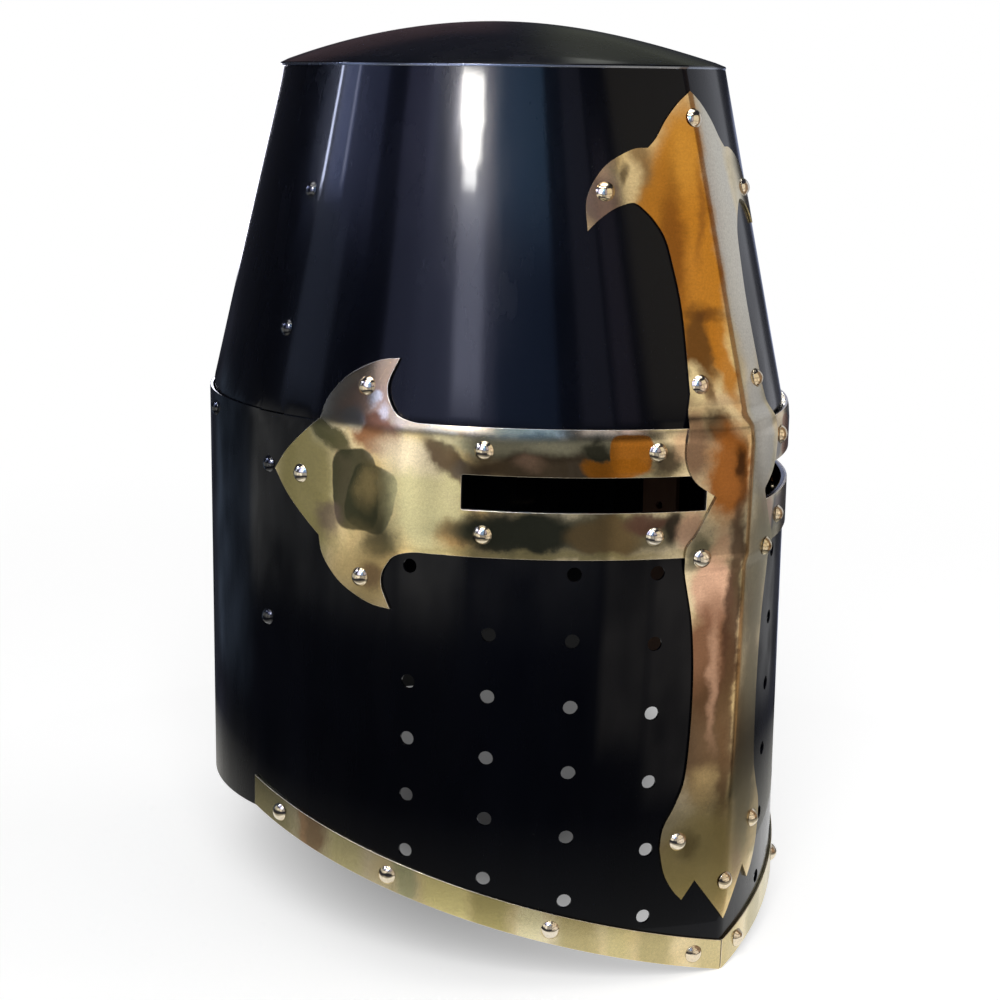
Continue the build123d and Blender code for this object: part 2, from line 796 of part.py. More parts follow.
def buckle_strap():
    """The right strap: it hangs from a seam rivet, goes round the buckle's bar and is riveted to itself."""
    inner, outer = bar_radius + buckle_fit, bar_radius + buckle_fit + strap_leather
    strap = strap_blank(buckle_height, strap_top)
    loop = Face(Wire([
        ThreePointArc((bar_x - outer, 0, buckle_height), (bar_x, 0, buckle_height - outer),
                      (bar_x + outer, 0, buckle_height)),
        Line((bar_x + outer, 0, buckle_height), (bar_x + inner, 0, buckle_height)),
        ThreePointArc((bar_x + inner, 0, buckle_height), (bar_x, 0, buckle_height - inner),
                      (bar_x - inner, 0, buckle_height)),
        Line((bar_x - inner, 0, buckle_height), (bar_x - outer, 0, buckle_height)),
    ]))
    bend = buckle_height + bar_radius
    pinch, end = bend + pinch_length, buckle_height + fold_length
    back = Face(Wire(Polyline([
        (bar_x + inner, 0, bend), (bar_x + inner, 0, buckle_height), (bar_x + outer, 0, buckle_height),
        (bar_x + outer, 0, bend),
        (strap_inner_x + strap_leather, 0, pinch), (strap_inner_x + strap_leather, 0, end),
        (strap_inner_x, 0, end), (strap_inner_x, 0, pinch),
    ], close=True)))
    for side in (loop, back):
        strap += Pos(0, strap_middle_y, 0) * extrude(side, amount=strap_width / 2, both=True)
    slot_height = 2 * outer + pinch_length
    slot_middle = buckle_height - outer + slot_height / 2 - overrun
    strap -= Pos(bar_x, strap_middle_y, slot_middle) * Box(4 * outer, prong_slot, slot_height)
    strap -= [fold_drill(), strap_drill()]
    return strap


def fold_drill():
    hole = Rot(0, 90, 0) * Cylinder(rivet_radius + rivet_clearance, 8 * strap_leather)
    return Pos(strap_inner_x, strap_middle_y, buckle_height + fold_rivet_rise) * hole


def fold_rivet():
    """The rivet that closes the strap's fold above the buckle."""
    grip = 2 * strap_leather
    height = buckle_height + fold_rivet_rise
    spot = Plane(origin=(strap_inner_x + strap_leather, strap_middle_y, height), z_dir=(1, 0, 0))
    shank = Pos(0, 0, -grip / 2) * Cylinder(rivet_radius, grip + 2 * seat_gap)
    head = Pos(0, 0, seat_gap) * dome(tail_radius, tail_rise)
    tail = Pos(0, 0, -grip - seat_gap) * (Rot(180, 0, 0) * dome(tail_radius, flat_tail_rise))
    return spot * (shank + head + tail)


def tongue_strap():
    """The left strap, drawn on the right and mirrored: a row of holes and a pointed end."""
    strap = strap_blank(tongue_bottom, strap_top)
    half_width = strap_width / 2
    point = Face(Wire(Polyline([
        (0, strap_middle_y - half_width, tongue_bottom), (0, strap_middle_y + half_width, tongue_bottom),
        (0, strap_middle_y + half_width, tongue_bottom + tongue_point),
        (0, strap_middle_y, tongue_bottom),
        (0, strap_middle_y - half_width, tongue_bottom + tongue_point),
    ], close=True)))
    strap -= extrude(point, amount=reach, dir=(1, 0, 0), both=True)
    first = tongue_bottom + 2 * tongue_point
    hole = Rot(0, 90, 0) * Cylinder(tongue_hole_radius, 4 * strap_leather)
    holes = [Pos(strap_inner_x, strap_middle_y, first + tongue_hole_pitch * index) * hole
             for index in range(tongue_holes)]
    strap -= holes + [strap_drill()]
    return mirror(strap, about=Plane.YZ)


def buckle_frame():
    """A rectangular wire frame that hangs on its bar in the strap's fold."""
    half_span = strap_width / 2 + buckle_side_gap + buckle_wire_radius
    corner = 2 * buckle_wire_radius
    path = FilletPolyline(
        (bar_x, -half_span, buckle_height), (bar_x, -half_span, buckle_height - buckle_length),
        (bar_x, half_span, buckle_height - buckle_length), (bar_x, half_span, buckle_height),
        radius=corner,
    )
    section = Plane(origin=path @ 0, z_dir=path % 0) * Circle(buckle_wire_radius)
    wire = sweep(section, path=path)
    bar = Pos(bar_x, 0, buckle_height) * (Rot(90, 0, 0) * Cylinder(bar_radius, 2 * half_span))
    knobs = [Pos(bar_x, side * half_span, buckle_height) * Sphere(buckle_wire_radius) for side in (-1, 1)]
    return Pos(0, strap_middle_y, 0) * (wire + bar + knobs)


def buckle_prong():
    """The prong: a ring round the bar and a pin that rests on the inner side of the frame's lower end."""
    inner, outer = bar_radius + buckle_fit, bar_radius + buckle_fit + prong_wall
    ring = Rot(90, 0, 0) * (Cylinder(outer, prong_width) - Cylinder(inner, prong_width))
    root = Vector(outer - prong_wall / 2, 0, 0)
    tip = Vector(buckle_wire_radius + prong_radius + buckle_fit * 2, 0, -buckle_length - buckle_wire_radius)
    way = tip - root
    pin = Plane(origin=root, z_dir=way) * (Pos(0, 0, way.length / 2) * Cylinder(prong_radius, way.length))
    pin -= Rot(90, 0, 0) * Cylinder(inner, prong_width)
    end = Pos(*tip) * Sphere(prong_radius)
    return Pos(bar_x, strap_middle_y, buckle_height) * (ring + pin + end)


# Writing the pieces

def write(name, shape):
    export_step(shape, "parts/" + name + ".step")


def write_rivets(name, spots, head_radius, head_rise):
    write(name, Compound([rivet(spot, grip, head_radius, head_rise) for spot, grip in spots]))


def write_mirrored(name, spots, head_radius, head_rise):
    """The same rivets on both sides, each side a piece of its own."""
    rivets = [rivet(spot, grip, head_radius, head_rise) for spot, grip in spots]
    write(name + "_right", Compound(rivets))
    write(name + "_left", Compound([mirror(piece, about=Plane.YZ) for piece in rivets]))


def paired(spots):
    """Rivets of the right half together with their mirror images."""
    twins = []
    for spot, grip in spots:
        origin, normal = spot.origin, spot.z_dir
        twin = Plane(origin=(-origin.X, origin.Y, origin.Z), z_dir=(-normal.X, normal.Y, normal.Z))
        twins.append((twin, grip))
    return spots + twins


write("face_plate", face_plate())
write("lower_back_plate", lower_back_plate())
write("upper_front_plate", upper_front_plate())
write("upper_back_plate", upper_back_plate())
write("top_plate", top_plate())

right_arm = cross_arm()
write("cross_arm_right", right_arm)
write("cross_arm_left", mirror(right_arm, about=Plane.YZ))
write("cross_upright", upright())
right_trim = rim_trim()
write("rim_trim_right", right_trim)
write("rim_trim_left", mirror(right_trim, about=Plane.YZ))

write_mirrored("seam_rivets", seam_spots() + [strap_spot()], black_head_radius, black_head_rise)
write_mirrored("cross_arm_rivets", arm_rivet_spots(), brass_head_radius, brass_head_rise)
write_mirrored("rim_trim_rivets", trim_spots(), brass_head_radius, brass_head_rise)
bar_spots = paired(upright_side_spots()) + ridge_spots()
write_rivets("cross_upright_rivets", bar_spots, brass_head_radius, brass_head_rise)
write_rivets("brow_rivets", paired(brow_spots()) + [back_spot()], black_head_radius, black_head_rise)

write("liner_band_front", liner_band(True))
write("liner_band_back", liner_band(False))
for index, leaf in enumerate(liner_leaves()):
    write("liner_leaf_" + str(index + 1), leaf)
write("liner_crown_disc", crown_disc())

write("buckle_strap", buckle_strap())
write("tongue_strap", tongue_strap())
write("fold_rivet", fold_rivet())
write("buckle_frame", buckle_frame())
write("buckle_prong", buckle_prong())
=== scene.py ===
import math
import random

import bmesh
import bpy
from mathutils import Matrix, Vector, noise


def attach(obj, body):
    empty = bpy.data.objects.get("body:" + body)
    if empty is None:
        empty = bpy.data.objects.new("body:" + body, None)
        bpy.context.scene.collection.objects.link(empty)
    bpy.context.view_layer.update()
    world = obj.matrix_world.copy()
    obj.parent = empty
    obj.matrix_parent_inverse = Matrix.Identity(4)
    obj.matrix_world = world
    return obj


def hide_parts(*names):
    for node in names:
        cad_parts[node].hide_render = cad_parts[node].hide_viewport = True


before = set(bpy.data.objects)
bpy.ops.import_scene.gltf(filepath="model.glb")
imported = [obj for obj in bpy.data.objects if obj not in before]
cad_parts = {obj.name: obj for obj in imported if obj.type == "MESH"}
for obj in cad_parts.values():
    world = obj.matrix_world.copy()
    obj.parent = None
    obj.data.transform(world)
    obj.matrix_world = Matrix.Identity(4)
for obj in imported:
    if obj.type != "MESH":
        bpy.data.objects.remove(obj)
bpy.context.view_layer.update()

mm = 0.001  # sizes are written in millimetres, meshes are in metres
rightSide, leftSide = -1, 1  # the wearer's, along X

helm = {
    "browHeight": 201.0,
    "wallHeight": 325.0,
    "domeRise": 16.0,
    "rimSide": 48.0,
    "rimBack": 44.0,
    "steel": 1.2,
    "brass": 1.0,
    "topSteel": 1.5,
    "widestLine": 10.8,
    "topForward": 6.0,
    "skirt": 12.0,
    "sideEdge": 6.0,
    "sideLap": 14.0,
    "foldRadius": 2.2,
    "browBend": 1.2,
    "clear": 0.25,
    "sideReach": 1.032,
    "column": 4.0,
    "row": 15.0,
    "upperRow": 9.0,
}

# Reach in front of the widest line, half width, reach behind it, and where that line lies
plans = {
    "base": (135.0, 109.0, 112.0, helm["widestLine"]),
    "brow": (140.0, 105.0, 120.0, helm["widestLine"]),
    "top": (98.0, 80.0, 90.0, helm["widestLine"] - helm["topForward"]),
}


def mix(low, high, share):
    return low + (high - low) * share


def frontArc(plan, inset):
    front, half, back, middle = plan
    radius = (half ** 2 + front ** 2) / (2 * half)
    beyond = radius - half
    return radius - inset, beyond, math.acos(beyond / (radius - inset))


def planPoint(plan, inset, share):  # share 0 at the nose, 1 at the side, 2 at the back
    front, half, back, middle = plan
    if share <= 1:
        radius, beyond, swing = frontArc(plan, inset)
        turn = swing * (1 - share)
        return Vector((beyond - radius * math.cos(turn), middle - radius * math.sin(turn), 0))
    turn = (share - 1) * math.pi / 2
    return Vector((-(half - inset) * math.cos(turn), middle + (back - inset) * math.sin(turn), 0))


def arcLength(plan):
    radius, beyond, swing = frontArc(plan, 0)
    return radius * swing


browLength = arcLength(plans["brow"])


def upperShare(z):
    return (z - helm["browHeight"]) / (helm["wallHeight"] - helm["browHeight"])


def plansAround(z):  # the plans below and above a height, and the share of the way between them
    if z <= helm["browHeight"]:
        return plans["base"], plans["brow"], z / helm["browHeight"]
    return plans["brow"], plans["top"], upperShare(z)


def faceLength(z):
    low, high, rise = plansAround(z)
    return mix(arcLength(low), arcLength(high), rise)


def wallPoint(across, z, inset):  # across runs along the brow from the nose, positive to the wearer's left
    share, side = abs(across) / browLength, leftSide if across > 0 else rightSide
    if share > 2:
        share, side = 4 - share, -side
    low, high, rise = plansAround(z)
    point = planPoint(low, inset, share).lerp(planPoint(high, inset, share), rise)
    point.x *= -side
    point.z = z
    return point


def easeCorner(before, corner, after, share):
    return before * (1 - share) ** 2 + corner * 2 * share * (1 - share) + after * share ** 2


def foldedPoint(across, z, inset):  # the nose fold has a small radius
    fold = helm["foldRadius"]
    if abs(across) >= fold:
        return wallPoint(across, z, inset)
    ends = wallPoint(-fold, z, inset), wallPoint(0, z, inset), wallPoint(fold, z, inset)
    return easeCorner(*ends, (across / fold + 1) / 2)


def skin(insetAt, bend=0.0):  # a surface: where a point of the flat cut lies on the helm
    def place(across, z):
        gap = z - helm["browHeight"]
        if abs(gap) >= bend:
            return foldedPoint(across, z, insetAt(z))
        heights = z - gap - bend, z - gap, z - gap + bend
        ends = [foldedPoint(across, height, insetAt(height)) for height in heights]
        return easeCorner(*ends, (gap / bend + 1) / 2)
    return place


def throughPoint(a, b, c, d, t):  # a share of the way from b to c on the curve through all four
    bend, twist = 2 * a - 5 * b + 4 * c - d, 3 * b - 3 * c + d - a
    return 0.5 * (2 * b + (c - a) * t + bend * t ** 2 + twist * t ** 3)


def smoothRun(points, steps=6):  # a curve through the points, both ends included
    points = [Vector(point) for point in points]
    whole = [points[0] * 2 - points[1]] + points + [points[-1] * 2 - points[-2]]
    run = [throughPoint(*four, step / steps)
           for four in zip(whole, whole[1:], whole[2:], whole[3:]) for step in range(steps)]
    return run + [points[-1]]


def straightRun(start, end, step):
    start, end = Vector(start), Vector(end)
    count = max(1, round((end - start).length / step))
    return [start.lerp(end, index / count) for index in range(count + 1)]


def joinRuns(*runs):
    outline = []
    for run in runs:
        for point in run:
            point = Vector(point)
            if not outline or (point - outline[-1]).length > 0.02:
                outline.append(point)
    if (outline[0] - outline[-1]).length < 0.02:
        outline.pop()
    return outline


def boxRun(left, right, low, high, step):
    corners = (left, low), (right, low), (right, high), (left, high), (left, low)
    return joinRuns(*(straightRun(a, b, step) for a, b in zip(corners, corners[1:])))


def mirrored(run):
    return [Vector((-point[0], point[1])) for point in reversed(run)]


# Sheets are cut flat, with their holes, and then formed on the helm

def cutSheet(outline, holes, columns, rows):
    flat = bmesh.new()
    for loop in [outline] + holes:
        corners = [flat.verts.new((point[0], point[1], 0)) for point in loop]
        for a, b in zip(corners, corners[1:] + corners[:1]):
            flat.edges.new((a, b))
    bmesh.ops.triangle_fill(flat, use_beauty=True, edges=flat.edges[:], normal=(0, 0, 1))
    for normal, places in (((1, 0, 0), columns), ((0, 1, 0), rows)):
        for spot in places:
            everything = flat.verts[:] + flat.edges[:] + flat.faces[:]
            bmesh.ops.bisect_plane(flat, geom=everything, dist=0.02, plane_no=normal,
                                   plane_co=Vector(normal) * spot)
    bmesh.ops.remove_doubles(flat, verts=flat.verts[:], dist=0.12)
    return flat


def gridLines(low, high, step):
    return [step * index for index in range(math.ceil(low / step), math.floor(high / step) + 1)]


def foldLines(across, step):  # columns on both sides, closer together over the nose fold
    fold = helm["foldRadius"]
    near = [fold * share for share in (-1, -0.6, -0.2, 0.2, 0.6, 1)]
    wide = [x for x in gridLines(-across, across, step) if abs(x) > fold]
    return sorted(near + wide)


def formSheet(name, flat, place, thickness, edge=0.22):
    lie = [flat.verts.layers.float.new(key) for key in ("across", "rise")]
    wornAndHighlight = flat.faces.layers.float.new("wornAndHighlight")
    for vert in flat.verts:
        vert[lie[0]], vert[lie[1]] = vert.co.x, vert.co.y
        vert.co = place(vert.co.x, vert.co.y) * mm
    bmesh.ops.recalc_face_normals(flat, faces=flat.faces[:])
    sample = max(flat.faces, key=lambda face: face.calc_area())
    middle = sample.calc_center_median()
    if sample.normal.dot(Vector((middle.x, middle.y, 0))) < 0:
        bmesh.ops.reverse_faces(flat, faces=flat.faces[:])
    bmesh.ops.solidify(flat, geom=flat.faces[:], thickness=thickness * mm)
    sharp = [line for line in flat.edges if len(line.link_faces) == 2 and line.calc_face_angle(0) > 0.9]
    if edge:  # the rounded edges carry a mark that the brass shows as polish and as a painted pale edge highlight
        rounded = bmesh.ops.bevel(flat, geom=sharp, offset=edge * mm, offset_type="OFFSET", segments=2,
                                  profile=0.5, affect="EDGES", clamp_overlap=True, material=-1)["faces"]
        for face in rounded:
            face[wornAndHighlight] = 1.0
    for face in flat.faces:
        face.smooth = True
    mesh = bpy.data.meshes.new(name)
    flat.normal_update()
    flat.to_mesh(mesh)
    smoothNormals(flat, mesh, lie, place)
    flat.free()
    piece = bpy.data.objects.new(name, mesh)
    bpy.context.scene.collection.objects.link(piece)
    return piece


def outwards(place, across, z, small):  # the direction out of a formed surface
    along = place(across + small, z) - place(across - small, z)
    up = place(across, z + small) - place(across, z - small)
    return along.cross(up).normalized()


def smoothNormals(formed, mesh, lie, place):  # the skins take the exact direction of the formed surface
    exact = [outwards(place, vert[lie[0]], vert[lie[1]], 0.3) for vert in formed.verts]
    normals = []
    for polygon in mesh.polygons:
        for index in polygon.vertices:
            lean = polygon.normal.dot(exact[index])
            if abs(lean) < 0.93:
                normals.append((0, 0, 0))
            else:
                normals.append(exact[index] if lean > 0 else -exact[index])
    mesh.normals_split_custom_set(normals)


def dress(piece, body, slotName, material, *nodes):
    piece.data.materials.clear()
    piece.data.materials.append(material)
    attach(piece, body)
    if nodes:
        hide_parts(*nodes)


# The steel plates

slit = {"middle": 181.2, "height": 12.4, "inner": 16.0, "outer": 101.8, "rounding": 0.75}
breath = {"radius": 2.6, "first": 32.2, "pitch": 29.4, "columns": 4, "rows": 6, "top": 153.2,
          "aboveRim": 17.2, "skipped": ((2, 0), (3, 1)), "corners": 16}


def planAt(z):
    low, high, rise = plansAround(z)
    return tuple(mix(a, b, rise) for a, b in zip(low, high))


def acrossBehind(distance, z):  # where a line this far behind the widest line crosses the wall
    plan = planAt(z)
    if distance >= 0:
        return browLength * (1 + math.asin(distance / plan[2]) * 2 / math.pi)
    radius, beyond, swing = frontArc(plan, 0)
    return browLength * (1 - math.asin(-distance / radius) / swing)


def rimHeight(across):
    return helm["rimSide"] * abs(across) / browLength


def roundCorner(centre, radius, start, steps=4):  # a quarter turn, from an angle in degrees
    turns = [math.radians(start + 90 * index / steps) for index in range(steps + 1)]
    return [(centre[0] + radius * math.cos(turn), centre[1] + radius * math.sin(turn)) for turn in turns]


def slitLoop(side):
    low, high = slit["middle"] - slit["height"] / 2, slit["middle"] + slit["height"] / 2
    inner, outer, corner = slit["inner"], slit["outer"], slit["rounding"]
    loop = joinRuns(
        straightRun((inner, low), (outer - corner, low), helm["column"]),
        roundCorner((outer - corner, low + corner), corner, -90),
        roundCorner((outer - corner, high - corner), corner, 0),
        straightRun((outer - corner, high), (inner, high), helm["column"]),
        straightRun((inner, high), (inner, low), helm["column"]),
    )
    return [(side * x, z) for x, z in loop]


def breathLoops():
    loops = []
    for column in range(breath["columns"]):
        across = breath["first"] + breath["pitch"] * column
        for row in range(breath["rows"]):
            if (column, row) in breath["skipped"]:
                continue
            z = mix(breath["top"], rimHeight(across) + breath["aboveRim"], row / (breath["rows"] - 1))
            stretch = browLength / faceLength(z)
            turns = [2 * math.pi * index / breath["corners"] for index in range(breath["corners"])]
            for side in (rightSide, leftSide):
                loops.append([(side * across + breath["radius"] * stretch * math.cos(turn),
                               z + breath["radius"] * math.sin(turn)) for turn in turns])
    return loops


def wallEdge(distance, low, high):  # a side edge, this far behind the widest line
    heights = [point[1] for point in straightRun((0, low), (0, high), helm["row"])]
    return [(acrossBehind(distance, z), z) for z in heights]


def makeFacePlate():
    edge = wallEdge(helm["sideEdge"], rimHeight(browLength * helm["sideReach"]), helm["browHeight"])
    half = joinRuns(straightRun((0, 0), edge[0], helm["column"]), edge,
                    straightRun(edge[-1], (0, helm["browHeight"]), helm["column"]))
    outline = joinRuns(half, mirrored(half))
    reach = edge[0][0]
    flat = cutSheet(outline, [slitLoop(rightSide), slitLoop(leftSide)] + breathLoops(),
                    foldLines(reach, helm["column"]), gridLines(0, helm["browHeight"], helm["row"]))
    return formSheet("facePlate", flat, skin(lambda z: 0.0), helm["steel"])


def backOutline(start, low, high, rim=None):  # goes round the back from the left side to the right
    first, last = -4 * browLength + start, -start
    rimHeightAt = rim or (lambda across: low)
    foot = [(across, rimHeightAt(across)) for across, z in straightRun((first, 0), (last, 0), helm["column"])]
    head = straightRun((last, high), (first, high), helm["column"])
    return joinRuns(foot, straightRun(foot[-1], head[0], helm["row"]), head,
                    straightRun(head[-1], foot[0], helm["row"]))


def neckRim(across):  # the neck plate's rim is one plane, a little lower at the back
    y = wallPoint(across, helm["rimBack"], 0).y - helm["widestLine"]
    return helm["rimSide"] + (helm["rimBack"] - helm["rimSide"]) * y / plans["base"][2]


def makeLowerBack():
    start = acrossBehind(helm["sideEdge"] - helm["sideLap"], helm["rimSide"])
    outline = backOutline(start, helm["rimBack"], helm["browHeight"], neckRim)
    columns = gridLines(-4 * browLength + start, -start, helm["column"])
    flat = cutSheet(outline, [], columns, gridLines(helm["rimBack"], helm["browHeight"], helm["row"]))
    return formSheet("lowerBackPlate", flat, skin(lambda z: helm["steel"]), helm["steel"])


def upperInset(z, browInset):
    return browInset if z <= helm["browHeight"] else browInset - helm["steel"] * upperShare(z)


def makeUpperFront():
    lap = helm["sideEdge"] - helm["sideLap"] - helm["clear"]
    foot, shoulder = helm["browHeight"] - helm["skirt"], helm["browHeight"] + helm["clear"]
    edge = wallEdge(helm["sideEdge"], shoulder, helm["wallHeight"])
    half = joinRuns(
        straightRun((0, foot), (acrossBehind(lap, foot), foot), helm["column"]),
        straightRun((acrossBehind(lap, foot), foot), (acrossBehind(lap, foot), shoulder), helm["row"]),
        edge, straightRun(edge[-1], (0, helm["wallHeight"]), helm["column"]))
    outline = joinRuns(half, mirrored(half))
    flat = cutSheet(outline, [], foldLines(edge[0][0] + 8, helm["column"]),
                    gridLines(foot, helm["wallHeight"], helm["upperRow"]))
    place = skin(lambda z: upperInset(z, helm["steel"]), helm["browBend"])
    return formSheet("upperFrontPlate", flat, place, helm["steel"])


def makeUpperBack():
    start = acrossBehind(helm["sideEdge"] - helm["sideLap"], helm["browHeight"])
    foot = helm["browHeight"] - helm["skirt"]
    outline = backOutline(start, foot, helm["wallHeight"])
    columns = gridLines(-4 * browLength + start, -start, helm["column"])
    flat = cutSheet(outline, [], columns, gridLines(foot, helm["wallHeight"], helm["upperRow"]))
    place = skin(lambda z: upperInset(z, 2 * helm["steel"]), helm["browBend"])
    return formSheet("upperBackPlate", flat, place, helm["steel"])


topPlate = {
    "lip": 0.15, "edge": 0.7, "skirtDepth": 10.0, "skirtInset": (2.6, 3.85), "rings": 26, "steps": 160,
    "innerRings": (0.99, 0.9, 0.7, 0.5, 0.3, 0.1, 0.0),
}


def topPlan(share, inset):  # the keeled outline fades to an oval towards the middle
    front, half, back, middle = plans["top"]
    share = max(share, 0.0001)
    keel = mix(1, front / half, share ** 2)
    width = (half - inset) * share
    return width * keel, width, (back - inset) * share, middle


def topProfile():  # share of the outline, inset and height of each ring, from the pole outwards and in again
    rise, base, thick = helm["domeRise"], helm["wallHeight"], helm["topSteel"]
    lip, soft = -topPlate["lip"], topPlate["edge"]
    rings = [(share, lip, base + thick + rise * (1 - share ** 2))
             for share in (index / topPlate["rings"] for index in range(topPlate["rings"]))]
    outer, inner = topPlate["skirtInset"]
    foot = base - topPlate["skirtDepth"]
    rings += [(1, lip + soft, base + thick), (1, lip + soft * 0.3, base + thick - soft * 0.3),
              (1, lip, base + thick - soft), (1, lip, base + soft), (1, lip + soft * 0.4, base),
              (1, outer, base), (1, outer + 0.05, foot), (1, inner, foot)]
    rings += [(share, inner, base + rise * (1 - share ** 2)) for share in topPlate["innerRings"]]
    return rings


def makeTopPlate():
    rings = topProfile()
    dish = bmesh.new()
    radii = [index + 1 if 0 < index < len(rings) - 1 else 0 for index in range(len(rings))]
    corners = [dish.verts.new((radius, 0, index)) for index, radius in enumerate(radii)]
    lines = [dish.edges.new(pair) for pair in zip(corners, corners[1:])]
    bmesh.ops.spin(dish, geom=corners + lines, cent=(0, 0, 0), axis=(0, 0, 1), angle=2 * math.pi,
                   steps=topPlate["steps"], use_merge=True)
    bmesh.ops.remove_doubles(dish, verts=dish.verts[:], dist=0.001)
    for vert in dish.verts:
        share, inset, height = rings[round(vert.co.z)]
        turn = math.atan2(vert.co.y, vert.co.x) / math.pi * 2  # from -2 to 2, with 0 at the nose
        point = planPoint(topPlan(share, inset), 0, abs(turn))
        if turn > 0:
            point.x = -point.x
        vert.co = Vector((point.x, point.y, height)) * mm
    bmesh.ops.recalc_face_normals(dish, faces=dish.faces[:])
    return finishMesh("topPlate", dish)


def finishMesh(name, shape, sharpAngle=0.6):
    shape.normal_update()
    for face in shape.faces:
        face.smooth = True
    for line in shape.edges:
        if len(line.link_faces) == 2 and line.calc_face_angle(0) > sharpAngle:
            line.smooth = False
    mesh = bpy.data.meshes.new(name)
    shape.to_mesh(mesh)
    shape.free()
    piece = bpy.data.objects.new(name, mesh)
    bpy.context.scene.collection.objects.link(piece)
    return piece


# The brass cross and the trims of the rim

cross = {
    "height": 45.6, "noseGap": 1.0, "terminalStart": 112.0, "terminalTip": 181.7, "terminalRise": 44.3,
    "browBend": 3.0, "edge": 0.32, "hornClear": 0.05, "rows": (130, 230, 6.0),
}

# Corners of an arm's end: share of the way to its tip, share of its rise; 5 and 10 are sharp
terminalShares = (
    (0.108, 0.519), (0.200, 0.560), (0.248, 0.640), (0.274, 0.730), (0.272, 0.835), (0.224, 1.000),
    (0.345, 0.972), (0.495, 0.868), (0.583, 0.756), (0.646, 0.622), (0.668, 0.480),
    (0.775, 0.352), (0.905, 0.178), (1.0, 0.0),
)

hornEnd = upperShare(slit["middle"] + cross["terminalRise"])
hornDrop = (helm["steel"] * (1 - hornEnd) - cross["hornClear"]) / hornEnd


def armInset(z):
    if z <= helm["browHeight"]:
        return -helm["brass"]
    return hornDrop * upperShare(z) - helm["brass"]


def armOutline(side):
    middle, half = slit["middle"], cross["height"] / 2
    start, tip, rise = cross["terminalStart"], cross["terminalTip"], cross["terminalRise"]
    ends = [(mix(start, tip, along), up * rise) for along, up in terminalShares]
    upper = joinRuns(straightRun((cross["noseGap"], half), (start - 8, half), helm["column"]),
                     smoothRun([(start - 8, half), (start, half)] + ends[:6], 4),
                     smoothRun(ends[5:11], 4), smoothRun(ends[10:14], 4))
    lower = [(x, -y) for x, y in reversed(upper)]
    inner = straightRun((cross["noseGap"], -half), (cross["noseGap"], half), helm["column"])
    return [(side * x, middle + y) for x, y in joinRuns(upper, lower, inner)]


def makeArm(side, name):
    flat = cutSheet(armOutline(side), [slitLoop(side)],
                    [side * x for x in foldLines(cross["terminalTip"], helm["column"]) if x > 0],
                    gridLines(*cross["rows"]))
    return formSheet(name, flat, skin(armInset, cross["browBend"]), helm["brass"], cross["edge"])


upright = {
    "top": 317.6, "bottom": 20.2, "hornReach": 46.4, "shaft": 17.6,
    "upperLobe": (24.8, 197.5), "waist": (12.9, 179.6), "lowerLobe": (23.6, 158.5),
    "lowerShaft": (17.6, 108.0), "fishtail": (27.6, 51.0),
    "shaftFootShare": 0.38, "throatShare": 0.3, "ease": 6.5, "lead": 0.4,
    "rows": ((18, 320, 6), (148, 160, 1.5), (203, 214, 1.5)),  # closer where the sheet steps over the arms
}

# The head from its tip down: share of the horn's reach, share of the head's height; 4 and 8 are sharp
headShares = (
    (0.0, 0.0), (0.13, 0.036), (0.256, 0.084), (0.353, 0.132), (0.435, 0.161),
    (0.569, 0.167), (0.797, 0.215), (0.963, 0.300), (1.0, 0.394),
    (0.903, 0.363), (0.784, 0.334), (0.672, 0.318), (0.601, 0.317),
    (0.528, 0.341), (0.470, 0.371), (0.418, 0.414), (0.395, 0.480),
)
lobeShares = ((0.0, 0.0), (0.25, 0.62), (1.0, 1.0))
waistShares = ((0.0, 0.0), (0.62, 0.6), (1.0, 1.0))
neckShares = ((0.75, 0.5), (1.0, 1.0))
flareShares = ((0.12, 0.5), (0.45, 0.7), (0.9, 0.86), (1.0, 1.0))
footShares = ((0.0, 0.0), (0.07, 0.3), (0.2, 0.52), (0.34, 0.665))
notchShare = (0.52, 0.44)


def onBar(length, z):  # a half width of the upright, in the brow's measure
    return Vector((length * browLength / faceLength(z), z))


def edgeRun(start, end, shares):
    return [onBar(mix(start[0], end[0], across), mix(start[1], end[1], down)) for across, down in shares]


def uprightOutline():
    top, shaft = upright["top"], upright["shaft"]
    upperLobe, waist, lowerLobe = upright["upperLobe"], upright["waist"], upright["lowerLobe"]
    head = top - upperLobe[1]
    marks = [onBar(across * upright["hornReach"], top - down * head) for across, down in headShares]
    shaftFoot = onBar(shaft, mix(upperLobe[1], top, upright["shaftFootShare"]))
    throat = onBar(mix(shaft, upperLobe[0], upright["throatShare"]), 2 * upperLobe[1] - waist[1])
    foot = edgeRun(upright["fishtail"], (0, upright["bottom"]), footShares)
    notch = edgeRun(upright["fishtail"], (0, upright["bottom"]), [notchShare])[0]
    lower = edgeRun(waist, lowerLobe, waistShares) + edgeRun(lowerLobe, upright["lowerShaft"], neckShares)
    half = joinRuns(
        smoothRun(marks[:5], 4), smoothRun(marks[4:9], 4), smoothRun(marks[8:] + [shaftFoot, throat], 5),
        smoothRun([throat] + edgeRun(upperLobe, waist, lobeShares), 7),
        smoothRun(lower + edgeRun(upright["lowerShaft"], upright["fishtail"], flareShares), 6),
        smoothRun(foot, 4), straightRun(foot[-1], notch, helm["column"]),
        straightRun(notch, onBar(0, upright["bottom"]), helm["column"]))
    return joinRuns(half, mirrored(half))


def ease(share):
    share = min(max(share, 0), 1)
    return share * share * (3 - 2 * share)


def uprightInset(z):
    half, over = cross["height"] / 2 + helm["clear"], -2 * helm["brass"]
    gap = abs(z - slit["middle"]) - half
    under = (upperInset(z, helm["steel"]) if z > helm["browHeight"] else 0) - helm["brass"]
    return mix(over, under, ease((gap + upright["lead"]) / upright["ease"]))


